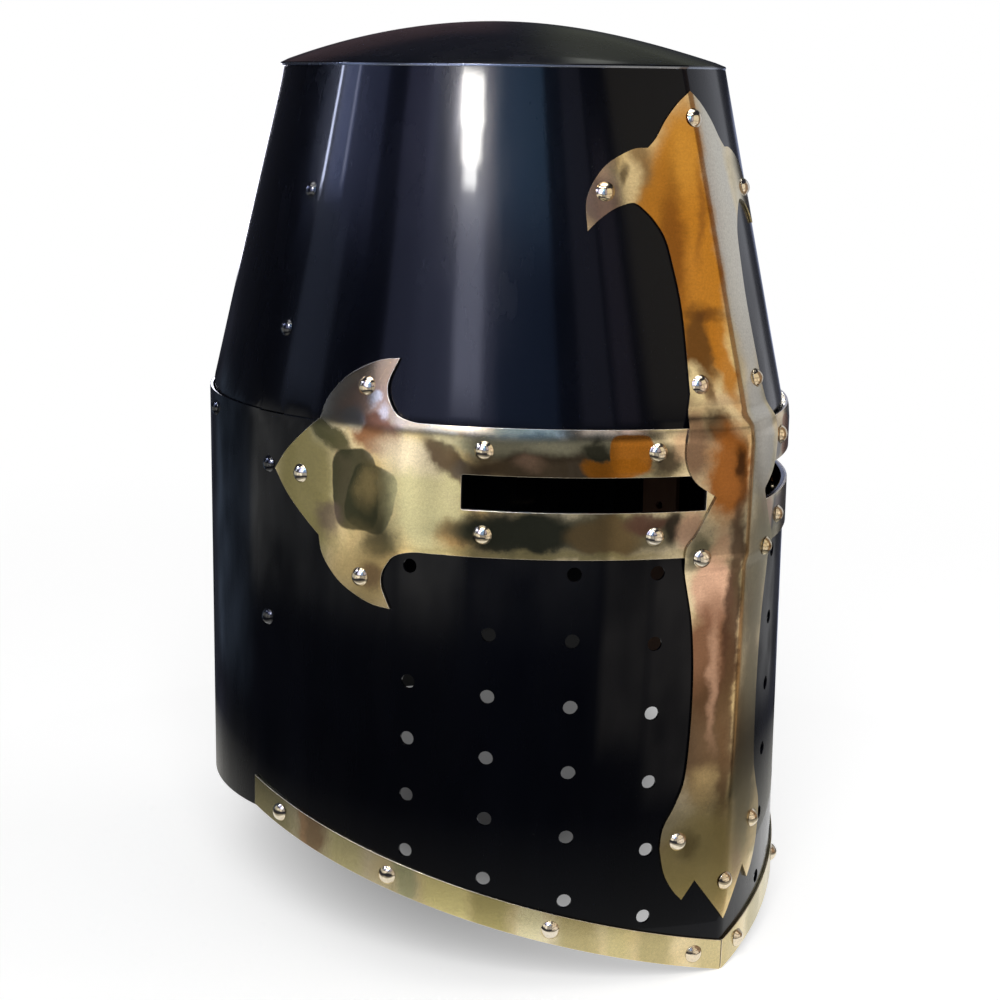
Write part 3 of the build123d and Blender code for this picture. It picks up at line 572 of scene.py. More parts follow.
def makeUpright():
    rows = [z for span in upright["rows"] for z in gridLines(*span)]
    columns = foldLines(upright["hornReach"] * 1.2, helm["column"] * 0.8)
    flat = cutSheet(uprightOutline(), [], columns, rows)
    place = skin(uprightInset, cross["browBend"])
    return formSheet("crossUpright", flat, place, helm["brass"], cross["edge"])


trim = {"width": 11.5, "noseGap": 0.25, "edge": 0.3, "rows": (0, 70, 4)}


def makeTrim(side, name):
    end = acrossBehind(helm["sideEdge"] - helm["clear"], helm["rimSide"])
    foot = [(x, rimHeight(x)) for x, z in straightRun((trim["noseGap"], 0), (end, 0), helm["column"])]
    head = [(x, z + trim["width"]) for x, z in reversed(foot)]
    outline = joinRuns(foot, straightRun(foot[-1], head[0], helm["column"]), head,
                       straightRun(head[-1], foot[0], helm["column"]))
    flat = cutSheet([(side * x, z) for x, z in outline], [],
                    [side * x for x in foldLines(end, helm["column"]) if x > 0], gridLines(*trim["rows"]))
    return formSheet(name, flat, skin(lambda z: -helm["brass"]), helm["brass"], trim["edge"])


# The rivets

rivets = {
    "radius": 1.6, "brassHead": (3.4, 2.2), "blackHead": (3.1, 2.0), "tail": (2.5, 1.1),
    "armInner": 34.2, "armOuter": 94.0, "armOffset": 14.8, "terminal": 140.0, "terminalOffset": 34.0,
    "tip": 167.7, "trim": (12.0, 66.4, 127.0, 177.6), "trimRise": 5.3,
    "bar": ((38.0, 283.5), (15.2, 218.4), (17.2, 158.0), (20.5, 53.2)), "ridge": (308.4, 35.0),
    "seam": (281.0, 231.6, 124.3, 181.8), "browDrop": 6.0, "back": (1.282, 1.641, 2.0),
    "steps": 28, "tilt": 2.0, "seed": 7, "stand": 0.05, "throughLiner": 2.3, "throughStrap": 2.9,
    "terminalDraw": 0.6, "ridgeGap": 0.7, "dentFrom": 0.3, "dentScale": 0.5, "dentDepth": 0.12,
}


def domeRun(radius, rise, steps):
    ball = (radius ** 2 + rise ** 2) / (2 * rise)
    swing = math.asin(radius / ball)
    turns = [swing * index / steps for index in range(steps + 1)]
    return [(ball * math.sin(turn), ball * math.cos(turn) - ball + rise) for turn in turns]


def lathe(profile, steps):  # turns a profile of radius and height round Z
    turned = bmesh.new()
    corners = [turned.verts.new((radius, 0, height)) for radius, height in profile]
    lines = [turned.edges.new(pair) for pair in zip(corners, corners[1:])]
    bmesh.ops.spin(turned, geom=corners + lines, cent=(0, 0, 0), axis=(0, 0, 1), angle=2 * math.pi,
                   steps=steps, use_merge=True)
    bmesh.ops.remove_doubles(turned, verts=turned.verts[:], dist=0.0001)
    bmesh.ops.recalc_face_normals(turned, faces=turned.faces[:])
    return turned


def mergeShapes(shapes):
    whole = bmesh.new()
    for shape in shapes:
        loose = bpy.data.meshes.new("part")
        shape.to_mesh(loose)
        shape.free()
        whole.from_mesh(loose)
        bpy.data.meshes.remove(loose)
    return whole


def rivetProfile(head, grip, tailRise):
    radius, rise = head
    lip = 0.22
    top = domeRun(radius - lip * 0.5, rise - lip, 9)
    stand, shank = rivets["stand"], rivets["radius"]
    under = -grip - stand
    top = [(r, z + lip) for r, z in top] + [(radius, lip * 0.55), (radius, stand)]
    tail = [(r, under - z) for r, z in reversed(domeRun(rivets["tail"][0], tailRise, 5))]
    return top + [(shank, stand), (shank, under)] + tail


def surfaceFrame(place, across, z, ridge):
    normal = outwards(place, across, z, 0.4)
    if ridge:
        normal.x = 0
        normal.normalize()
    return place(across, z), normal


def rivetBatch(name, spots, head):
    draw = random.Random(rivets["seed"] + len(spots))
    heads = []
    for place, across, z, grip, ridge in spots:
        point, normal = surfaceFrame(place, across, z, ridge)
        one = lathe(rivetProfile(head, grip, rivets["tail"][1]), rivets["steps"])
        dent = Vector((draw.uniform(-9, 9), draw.uniform(-9, 9), draw.uniform(-9, 9)))
        for vert in one.verts:
            if vert.co.z > rivets["dentFrom"]:
                bump = noise.noise(vert.co * rivets["dentScale"] + dent)
                vert.co += vert.co.normalized() * bump * rivets["dentDepth"]
        turn = Matrix.Rotation(draw.uniform(0, math.pi), 4, "Z")
        lean = Matrix.Rotation(math.radians(draw.uniform(-1, 1) * rivets["tilt"]), 4, "X")
        stand = normal.to_track_quat("Z", "Y").to_matrix().to_4x4()
        whole = Matrix.Scale(mm, 4) @ Matrix.Translation(point) @ stand @ lean @ turn
        bmesh.ops.transform(one, matrix=whole, verts=one.verts[:])
        heads.append(one)
    return finishMesh(name, mergeShapes(heads), 0.9)


def armSpots(side):
    place = skin(armInset, cross["browBend"])
    steel, brass, middle = helm["steel"], helm["brass"], slit["middle"]
    band = 2 * steel + brass + rivets["throughLiner"]
    spots = []
    for across in (rivets["armInner"], rivets["armOuter"]):
        spots.append((place, side * across, middle + rivets["armOffset"], band, False))
        spots.append((place, side * across, middle - rivets["armOffset"], steel + brass, False))
    for up, grip in ((1, 2 * steel + brass - rivets["terminalDraw"]), (-1, steel + brass)):
        spots.append((place, side * rivets["terminal"], middle + up * rivets["terminalOffset"], grip, False))
    spots.append((place, side * rivets["tip"], middle, steel + brass, False))
    return spots


def uprightSpots():
    place = skin(uprightInset, cross["browBend"])
    sheets = helm["steel"] + helm["brass"]
    spots = []
    for across, z in rivets["bar"]:
        grip = sheets + (helm["brass"] if abs(z - slit["middle"]) < 24 else 0)
        for side in (rightSide, leftSide):
            spots.append((place, side * onBar(across, z).x, z, grip, False))
    spots += [(place, 0, z, sheets + rivets["ridgeGap"], True) for z in rivets["ridge"]]
    return spots


def trimSpots(side):
    place = skin(lambda z: -helm["brass"])
    sheets = helm["steel"] + helm["brass"]
    return [(place, side * across, rimHeight(across) + rivets["trimRise"],
             sheets + (helm["steel"] if across > 170 else 0), False) for across in rivets["trim"]]


def seamSpots(side):
    lower, upper = skin(lambda z: 0.0), skin(lambda z: upperInset(z, helm["steel"]))
    spots = []
    for z in rivets["seam"]:
        place = upper if z > helm["browHeight"] else lower
        across = acrossBehind(helm["sideEdge"] - helm["sideLap"] / 2, z)
        grip = 2 * helm["steel"] + (rivets["throughStrap"] if z == rivets["seam"][-1] else 0)
        spots.append((place, side * across, z, grip, False))
    return spots


def browSpots():
    place = skin(lambda z: helm["steel"])
    z = helm["browHeight"] - rivets["browDrop"]
    grip = 2 * helm["steel"] + rivets["throughLiner"]
    spots = [(place, side * share * browLength, z, grip, False)
             for share in rivets["back"][:-1] for side in (rightSide, leftSide)]
    return spots + [(place, 2 * rightSide * browLength, z, grip, True)]


# The leather liner

liner = {
    "thick": 2.0, "leafThick": 1.5, "gap": 0.3, "bandFoot": 189.0, "bandHead": 211.0,
    "leafFoot": 201.5, "bend": 213.0, "crown": 288.0, "leaves": 8, "leafGap": 5.0, "centre": 7.8,
    "discRadius": 27.0, "sewRadius": 22.5, "domeRun": 100.0, "column": 5.0, "row": 6.0,
    "browBend": 1.5, "bandEdge": 0.5, "leafEdge": 0.4, "stitch": (1.5, 0.34, 0.3), "stitchPitch": 4.2,
    "sewRises": (2.6, 7.0),
}

# Rings of the crown: share of the outline, share of the climb
crownShares = ((1.0, 0.0), (0.95, 0.34), (0.84, 0.63), (0.64, 0.86), (0.36, 1.0), (0.17, 1.0))


def bandSkin(front, deeper=0.0):
    inset = (2 if front else 3) * helm["steel"] + liner["gap"] + deeper
    return skin(lambda z: upperInset(z, inset), liner["browBend"])


def makeBand(front, name):
    foot, head = liner["bandFoot"], liner["bandHead"]
    if front:
        reach = acrossBehind(helm["sideEdge"] - helm["sideLap"] - helm["steel"], helm["browHeight"])
        outline = boxRun(-reach, reach, foot, head, helm["column"])
        columns = foldLines(reach, liner["column"])
    else:
        start = acrossBehind(helm["sideEdge"] - helm["sideLap"], helm["browHeight"])
        outline = backOutline(start, foot, head)
        columns = gridLines(-4 * browLength + start, -start, liner["column"])
    flat = cutSheet(outline, [], columns, gridLines(foot, head, liner["row"]))
    return formSheet(name, flat, bandSkin(front), liner["thick"], liner["bandEdge"])


def ringPlan(rise, sink):  # the liner's outline at a distance along a leaf from its foot
    inset = 3 * helm["steel"] + 2 * liner["gap"] + liner["thick"] + sink
    foot, bend = liner["leafFoot"], liner["bend"]
    z = min(foot + rise, bend)
    front, half, back, middle = planAt(z)
    front, half, back = front - inset, half - inset, back - inset
    beyond = rise - (bend - foot)
    if beyond <= 0:
        return (front, half, back, middle), z
    step = beyond / liner["domeRun"] * (len(crownShares) - 1)
    index = min(int(step), len(crownShares) - 2)
    near = [crownShares[max(0, min(index + k, len(crownShares) - 1))] for k in (-1, 0, 1, 2)]
    t = step - index
    share, climb = [throughPoint(*four, t) for four in zip(*near)]
    keel = mix(1, front / half, share)
    climb = min(climb, 1.0)
    return (half * share * keel, half * share, back * share, middle), mix(bend, liner["crown"] - sink, climb)


def shareAtAngle(plan, angle):  # where a ray from the crown's middle meets an outline
    low, high = 0.0, 2.0
    for guess in range(16):
        share = (low + high) / 2
        point = planPoint(plan, 0, share)
        if math.degrees(math.atan2(-point.x, liner["centre"] - point.y)) < angle:
            low = share
        else:
            high = share
    return (low + high) / 2


def leafPlace(angle, rise, sink=0.0):
    plan, z = ringPlan(rise, sink)
    side = leftSide if angle > 0 else rightSide
    point = planPoint(plan, 0, shareAtAngle(plan, abs(angle)))
    return Vector((-side * point.x, point.y, z))


wedge = 360 / liner["leaves"]


def leafMiddle(index):  # counted from the wearer's left, like the nodes
    return (wedge * (index + 0.5) + 270) % 360 - 180


def makeLeaf(index, name):
    middle = leafMiddle(index)
    length = liner["bend"] - liner["leafFoot"] + liner["domeRun"]
    rises = [length * step / 26 for step in range(27)]
    edge = []
    for rise in rises:
        plan, z = ringPlan(rise, 0.0)
        middlePoint = planPoint(plan, 0, shareAtAngle(plan, abs(middle)))
        radius = math.hypot(middlePoint.x, middlePoint.y - liner["centre"])
        gap = math.degrees(math.asin(min(liner["leafGap"] / 2 / radius, 1)))
        edge.append((wedge / 2 - gap, rise))
    right = [(middle + half, rise) for half, rise in edge]
    left = [(middle - half, rise) for half, rise in reversed(edge)]
    outline = joinRuns(right, straightRun(right[-1], left[0], 3), left, straightRun(left[-1], right[0], 3))
    columns = [middle + wedge * 0.09 * step for step in range(-5, 6)]
    flat = cutSheet(outline, [], columns, rises[1:-1])
    return formSheet(name, flat, leafPlace, liner["leafThick"], liner["leafEdge"])


def makeDisc():
    radius, foot, thick = liner["discRadius"], liner["crown"] + liner["gap"], liner["leafThick"]
    soft = 0.5
    profile = [(0, foot + thick), (radius * 0.4, foot + thick), (radius * 0.8, foot + thick),
               (radius - soft, foot + thick), (radius - soft * 0.3, foot + thick - soft * 0.3),
               (radius, foot + thick - soft), (radius, foot + soft), (radius - soft * 0.3, foot + soft * 0.3),
               (radius - soft, foot), (radius * 0.6, foot), (0, foot)]
    disc = lathe(profile, 72)
    bmesh.ops.transform(disc, matrix=Matrix.Scale(mm, 4) @ Matrix.Translation((0, liner["centre"], 0)),
                        verts=disc.verts[:])
    return finishMesh("linerCrownDisc", disc, 1.2)


def sewRow(thread, spots):  # one stitch after another along a row of points in millimetres
    for here, there in zip(spots, spots[1:]):
        if (there - here).length > liner["stitchPitch"] * 1.6:
            continue
        turn = (there - here).to_track_quat("X", "Z").to_matrix().to_4x4()
        place = Matrix.Translation(here.lerp(there, 0.5)) @ turn @ Matrix.Diagonal((*liner["stitch"], 1))
        bmesh.ops.create_icosphere(thread, subdivisions=1, radius=1, matrix=Matrix.Scale(mm, 4) @ place)


def leafRow(middle, rise):  # along a leaf's foot, on its inner face
    start, end = leafPlace(middle, rise, liner["leafThick"]), Vector((0, liner["centre"]))
    half = 180 / liner["leaves"] - 4
    count = round(math.radians(2 * half) * (start.xy - end).length / liner["stitchPitch"])
    return [leafPlace(middle + half * (2 * index / count - 1), rise, liner["leafThick"])
            for index in range(count + 1)]


def bandRow(front, z):
    place = bandSkin(front, liner["thick"])
    reach = acrossBehind(helm["sideEdge"] - helm["sideLap"] - helm["steel"], helm["browHeight"]) - 3
    low, high = (-reach, reach) if front else (-4 * browLength + reach + 6, -reach - 6)
    return [place(x, z) for x in gridLines(low, high, liner["stitchPitch"])]


def discRow():
    turns = [2 * math.pi * index / 36 for index in range(37)]
    ring = [(liner["sewRadius"] * math.cos(turn), liner["sewRadius"] * math.sin(turn)) for turn in turns]
    return [Vector((x, liner["centre"] + y, liner["crown"] - liner["leafThick"])) for x, y in ring]


def makeThreads():
    thread = bmesh.new()
    for index in range(liner["leaves"]):
        for rise in liner["sewRises"]:
            sewRow(thread, leafRow(leafMiddle(index), rise))
    for front in (True, False):
        sewRow(thread, bandRow(front, liner["bandFoot"] + 2.2))
    sewRow(thread, discRow())
    return finishMesh("linerThreads", thread, 3)


# The chin strap and its buckle

strap = {
    "width": 20.0, "thick": 2.2, "top": 189.0, "rivetHeight": 181.8, "foot": 68.0, "point": 12.0,
    "holeRadius": 1.75, "holePitch": 12.0, "holes": 5, "buckleHeight": 112.0, "bar": 1.6, "wire": 1.6,
    "fit": 0.05, "buckleLength": 19.0, "sideGap": 1.8, "fold": 24.0, "pinch": 8.0,
    "prong": 1.1, "slot": 5.6, "slotOuter": 11.5, "slotInner": 14.4, "prongWidth": 4.4, "prongWall": 1.2,
    "foldRivetRise": 18.0, "foldRivet": (2.5, 1.1), "foldShank": 1.6, "foldTail": 0.4, "foldStand": 0.05,
    "corner": 3.0, "tongueEdge": 0.5, "buckleEdge": 0.45,
}
strapOuterX = wallPoint(rightSide * browLength, strap["rivetHeight"], 2 * helm["steel"]).x + 0.6
strapInnerX = strapOuterX + strap["thick"]
strapMiddleY = helm["widestLine"] + helm["sideEdge"] - helm["sideLap"] / 2
barX = strapInnerX + strap["bar"] + strap["fit"]


def strapPath(points):  # a path in the X-Z plane: where a length along it lies, and which way is inwards
    points = [Vector(point) for point in points]
    lengths = [0.0]
    for a, b in zip(points, points[1:]):
        lengths.append(lengths[-1] + (b - a).length)

    def at(length):
        index = 0
        while index < len(points) - 2 and length > lengths[index + 1]:
            index += 1
        a, b = points[index], points[index + 1]
        return a.lerp(b, (length - lengths[index]) / (lengths[index + 1] - lengths[index]))
    return at, lengths[-1]


def makeTongue():
    half, corner = strap["width"] / 2, strap["corner"]
    foot, top = strap["foot"], strap["top"]
    tip = foot + strap["point"]
    point = smoothRun([(0, foot), (half * 0.62, foot + strap["point"] * 0.45), (half, tip)], 5)
    side = joinRuns([(0, foot)], point, straightRun((half, tip), (half, top - corner), 5),
                    [(half, top - corner), (half - corner * 0.3, top - corner * 0.3), (half - corner, top)],
                    straightRun((half - corner, top), (0, top), 3))
    outline = joinRuns(side, mirrored(side))
    first = foot + 2 * strap["point"]
    holes = []
    for index in range(strap["holes"]):
        turns = [2 * math.pi * step / 14 for step in range(14)]
        radius, height = strap["holeRadius"], first + strap["holePitch"] * index
        holes.append([(radius * math.cos(turn), height + radius * math.sin(turn)) for turn in turns])
    flat = cutSheet(outline, holes, [-5, 0, 5], gridLines(foot, top, 6))

    def place(across, z):
        return Vector((-strapOuterX, strapMiddleY - across, z))
    return formSheet("tongueStrap", flat, place, strap["thick"], strap["tongueEdge"])


def foldedPath():  # down, round the buckle's bar and up again: the line of the strap's outer face
    bar, height = strap["bar"] + strap["fit"], strap["buckleHeight"]
    outer = bar + strap["thick"]
    turns = [math.pi + math.pi * step / 14 for step in range(15)]
    bend = height + strap["bar"]
    down = [(strapOuterX, strap["top"]), (strapOuterX, height)]
    loop = [(barX + outer * math.cos(turn), height + outer * math.sin(turn)) for turn in turns[1:]]
    up = [(barX + outer, bend), (strapInnerX + strap["thick"], bend + strap["pinch"]),
          (strapInnerX + strap["thick"], height + strap["fold"])]
    return strapPath(down + loop + up)


def makeBuckleStrap():
    at, length = foldedPath()
    half, corner = strap["width"] / 2, strap["corner"]
    side = joinRuns([(0, 0)], straightRun((0, 0), (half - corner, 0), 3),
                    [(half - corner * 0.3, corner * 0.3), (half, corner)],
                    straightRun((half, corner), (half, length), 3),
                    straightRun((half, length), (0, length), 3))
    outline = joinRuns(side, mirrored(side))
    middle = strap["top"] - strap["buckleHeight"] + math.pi * (strap["bar"] + strap["thick"]) / 2
    slotHalf, low, high = strap["slot"] / 2, middle - strap["slotOuter"], middle + strap["slotInner"]
    slot = boxRun(-slotHalf, slotHalf, low, high, 2)
    rows = gridLines(0, 70, 8) + gridLines(70, length, 1.1)
    flat = cutSheet(outline, [slot], [-6, 0, 6], rows)

    def place(across, run):
        x, z = at(run)
        return Vector((x, strapMiddleY - across, z))
    return formSheet("buckleStrap", flat, place, strap["thick"], strap["buckleEdge"])


def wireThrough(points, radius, name):  # a round wire along a closed or open line of points
    curve = bpy.data.curves.new(name, "CURVE")
    curve.dimensions = "3D"
    line = curve.splines.new("POLY")
    line.points.add(len(points) - 1)
    for spot, point in zip(line.points, points):
        spot.co = (*(Vector(point) * mm), 1)
    curve.bevel_depth = radius * mm
    curve.bevel_resolution = 5
    curve.use_fill_caps = True
    carrier = bpy.data.objects.new(name + "Line", curve)
    bpy.context.scene.collection.objects.link(carrier)
    bpy.context.view_layer.update()
    mesh = bpy.data.meshes.new_from_object(carrier.evaluated_get(bpy.context.evaluated_depsgraph_get()))
    bpy.data.objects.remove(carrier)
    wire = bmesh.new()
    wire.from_mesh(mesh)
    bpy.data.meshes.remove(mesh)
    return wire


def makeBuckleFrame():
    span = strap["width"] / 2 + strap["sideGap"] + strap["wire"]
    top, corner = strap["buckleHeight"], 2 * strap["wire"]
    foot = top - strap["buckleLength"]
    path = [(span, top)] + [(y, z) for y, z in straightRun((span, top), (span, foot + corner), 3)]
    path += [(span - corner + x, foot + corner + z) for x, z in roundCorner((0, 0), corner, -90, 6)][::-1]
    path += [(-span + corner - x, foot + corner + z) for x, z in roundCorner((0, 0), corner, -90, 6)]
    path += [(-span, foot + corner), (-span, top)]
    wire = wireThrough([(barX, strapMiddleY + y, z) for y, z in joinRuns(path)], strap["wire"], "buckleWire")
    bar = wireThrough([(barX, strapMiddleY + y, top) for y in (-span, 0, span)], strap["bar"], "buckleBar")
    knobs = []
    for end in (-span, span):
        knob = bmesh.new()
        bmesh.ops.create_uvsphere(knob, u_segments=24, v_segments=14, radius=strap["wire"] * mm)
        bmesh.ops.translate(knob, vec=Vector((barX, strapMiddleY + end, top)) * mm, verts=knob.verts[:])
        knobs.append(knob)
    return finishMesh("buckleFrame", mergeShapes([wire, bar] + knobs), 0.9)


def makeBuckleProng():
    inner, outer = strap["bar"] + strap["fit"], strap["bar"] + strap["fit"] + strap["prongWall"]
    half, soft = strap["prongWidth"] / 2, 0.25
    profile = [(inner, -half + soft), (inner + soft, -half), (outer - soft, -half), (outer, -half + soft),
               (outer, half - soft), (outer - soft, half), (inner + soft, half), (inner, half - soft),
               (inner, -half + soft)]
    ring = lathe(profile, 32)
    base = Vector((barX, strapMiddleY, strap["buckleHeight"]))
    stand = Matrix.Translation(base) @ Matrix.Rotation(math.pi / 2, 4, "X")
    bmesh.ops.transform(ring, matrix=Matrix.Scale(mm, 4) @ stand, verts=ring.verts[:])
    root = Vector((outer - strap["prongWall"] / 2, 0, 0))
    reach = strap["wire"] + strap["prong"] + 2 * strap["fit"]
    tip = Vector((reach, 0, -strap["buckleLength"] - strap["wire"]))
    length = (tip - root).length
    start = outer * 0.45
    body = domeRun(strap["prong"], strap["prong"], 6)
    profile = [(0.0, start)] + [(strap["prong"], start), (strap["prong"], length * 0.6)]
    profile += [(radius * 0.94, length - strap["prong"] + height + strap["prong"] * 0.9)
                for radius, height in reversed(body)]
    pin = lathe(profile, 20)
    aim = (tip - root).to_track_quat("Z", "Y").to_matrix().to_4x4()
    stand = Matrix.Translation(base + root) @ aim
    bmesh.ops.transform(pin, matrix=Matrix.Scale(mm, 4) @ stand, verts=pin.verts[:])
    return finishMesh("buckleProng", mergeShapes([ring, pin]), 0.9)


def makeFoldRivet():
    radius, rise = strap["foldRivet"]
    shank, stand = strap["foldShank"], strap["foldStand"]
    under = -2 * strap["thick"] - stand
    profile = [(r, z + stand) for r, z in domeRun(radius, rise, 7)]
    profile += [(radius, stand), (shank, stand), (shank, under)]
    profile += [(r, under - z) for r, z in reversed(domeRun(radius, strap["foldTail"], 5))]
    one = lathe(profile, 28)
    height = strap["buckleHeight"] + strap["foldRivetRise"]
    spot = Matrix.Translation((strapInnerX + strap["thick"], strapMiddleY, height))
    turn = Matrix.Rotation(math.pi / 2, 4, "Y")
    bmesh.ops.transform(one, matrix=Matrix.Scale(mm, 4) @ spot @ turn, verts=one.verts[:])
    return finishMesh("foldRivet", one, 0.9)


# Finishes

def startFinish(name):
    finish = bpy.data.materials.new(name)
    finish.use_nodes = True
    tree = finish.node_tree
    return finish, tree, tree.nodes["Principled BSDF"]


def fill(tree, node, inputs):  # an input gets a value, or a link where it is given a socket
    for key, value in inputs.items():
        if isinstance(value, bpy.types.NodeSocket):
            tree.links.new(value, node.inputs[key])
        else:
            node.inputs[key].default_value = value


def addNode(tree, kind, inputs, **settings):
    node = tree.nodes.new("ShaderNode" + kind)
    for key, value in settings.items():
        setattr(node, key, value)
    fill(tree, node, inputs)
    return node


def objectPlace(tree):
    return addNode(tree, "TexCoord", {}).outputs["Object"]


def carried(tree, name, output="Fac"):  # a value that the mesh carries
    return addNode(tree, "Attribute", {}, attribute_name=name).outputs[output]


def worked(tree, kind, *numbers):
    return addNode(tree, "Math", dict(enumerate(numbers)), operation=kind).outputs[0]


def workedVector(tree, kind, *vectors):
    return addNode(tree, "VectorMath", dict(enumerate(vectors)), operation=kind).outputs[0]


def lengthOf(tree, vector):
    return addNode(tree, "VectorMath", {0: vector}, operation="LENGTH").outputs["Value"]


def softRange(tree, value, low, high):
    inputs = {"Value": value, "From Min": low, "From Max": high}
    return addNode(tree, "MapRange", inputs, interpolation_type="SMOOTHSTEP").outputs["Result"]


def cloud(tree, scale, stretch=(1, 1, 1), detail=3.0, roughness=0.5, shift=(0, 0, 0), distortion=0.0):
    spread = addNode(tree, "Mapping", {"Vector": objectPlace(tree), "Scale": stretch, "Location": shift})
    return addNode(tree, "TexNoise", {
        "Vector": spread.outputs["Vector"], "Scale": scale, "Detail": detail, "Roughness": roughness,
        "Distortion": distortion}).outputs["Fac"]


def ramp(tree, source, stops):  # two stops, each a place and a colour or a grey
    band = addNode(tree, "ValToRGB", {"Fac": source})
    for element, (spot, colour) in zip(band.color_ramp.elements, stops):
        element.position = spot
        element.color = (*colour, 1) if not isinstance(colour, float) else (colour, colour, colour, 1)
    return band.outputs["Color"]


def blendColour(tree, share, first, second, kind="MIX"):
    first, second = [(*end, 1) if isinstance(end, tuple) else end for end in (first, second)]
    blend = addNode(tree, "Mix", {"Factor": share, 6: first, 7: second}, data_type="RGBA", blend_type=kind)
    return blend.outputs[2]


def dents(tree, shader, layers):  # each layer: a height and its depth in metres
    last = None
    for height, depth in layers:
        below = {} if last is None else {"Normal": last}
        relief = addNode(tree, "Bump", {"Strength": 1.0, "Distance": depth, "Height": height, **below})
        last = relief.outputs["Normal"]
    fill(tree, shader, {"Normal": last})
    return last


def blackPaint(name, waver, gloss=0.5, coat=1.28, bareWithHighlightBelow=None):
    finish, tree, shader = startFinish(name)
    mottle, haze = cloud(tree, 14.0, (1, 1, 0.3), 4), cloud(tree, 60.0, (1, 1, 0.25), 5, 0.6)
    fill(tree, shader, {
        "Base Color": ramp(tree, mottle, ((0.3, (0.0008, 0.001, 0.0022)), (0.7, (0.0014, 0.002, 0.0045)))),
        "Roughness": ramp(tree, haze, ((0.3, 0.2), (0.75, 0.34))), "Specular IOR Level": gloss * 0.14,
        "Coat Weight": gloss, "Coat Roughness": 0.04, "Coat IOR": coat,
    })
    bent = dents(tree, shader, [
        (cloud(tree, 11.0, (1, 1, 0.35), 1), waver),
        (cloud(tree, 42.0, (1, 1, 0.45), 2, 0.5, (5.0, 1.0, 0.0)), waver * 0.12),
        (cloud(tree, 420.0, (1, 1, 1), 2), 0.000004),
    ])
    fill(tree, shader, {"Coat Normal": bent})
    if bareWithHighlightBelow:
        rubBareWithHighlight(tree, shader, bareWithHighlightBelow)
    return finish


def rubBareWithHighlight(tree, shader, height):  # the paint is worn to steel below this height: wear, and a lighter bare band that paints a highlight along the rim
    z = addNode(tree, "SeparateXYZ", {0: objectPlace(tree)}).outputs["Z"]
    soft = 0.00015
    edges = {"From Min": height + soft, "From Max": height - soft}
    wornAndHighlight = addNode(tree, "MapRange", {"Value": z, **edges}).outputs[0]
    painted = shader.inputs["Base Color"].links[0].from_socket
    fill(tree, shader, {"Base Color": blendColour(tree, wornAndHighlight, painted, (0.26, 0.29, 0.34)), "Metallic": wornAndHighlight})


def sheetPlace(tree, wobble, paired):  # a point on the cut sheet in millimetres, a little stirred
    across, rise = carried(tree, "across"), carried(tree, "rise")
    if paired:  # the two arms carry the same marks
        across = worked(tree, "ABSOLUTE", across)
    place = addNode(tree, "CombineXYZ", {"X": across, "Y": rise}).outputs[0]
    grain = {"Scale": 80.0, "Detail": 5.0, "Roughness": 0.6}
    stir = addNode(tree, "TexNoise", {"Vector": objectPlace(tree), **grain}).outputs["Color"]
    half = wobble / 2
    centred = workedVector(tree, "MULTIPLY_ADD", stir, (wobble, wobble, 0), (-half, -half, 0))
    return workedVector(tree, "ADD", place, centred)


def ovalRange(tree, place, centre, reach, turn, low, high, square=False):  # 0 at low and 1 at high
    oval = {"Location": (*centre, 0), "Rotation": (0, 0, math.radians(turn)), "Scale": (*reach, 1)}
    own = addNode(tree, "Mapping", {"Vector": place, **oval}, vector_type="TEXTURE").outputs[0]
    if square:
        own = workedVector(tree, "MULTIPLY", own, own)
    return softRange(tree, lengthOf(tree, own), low, high)


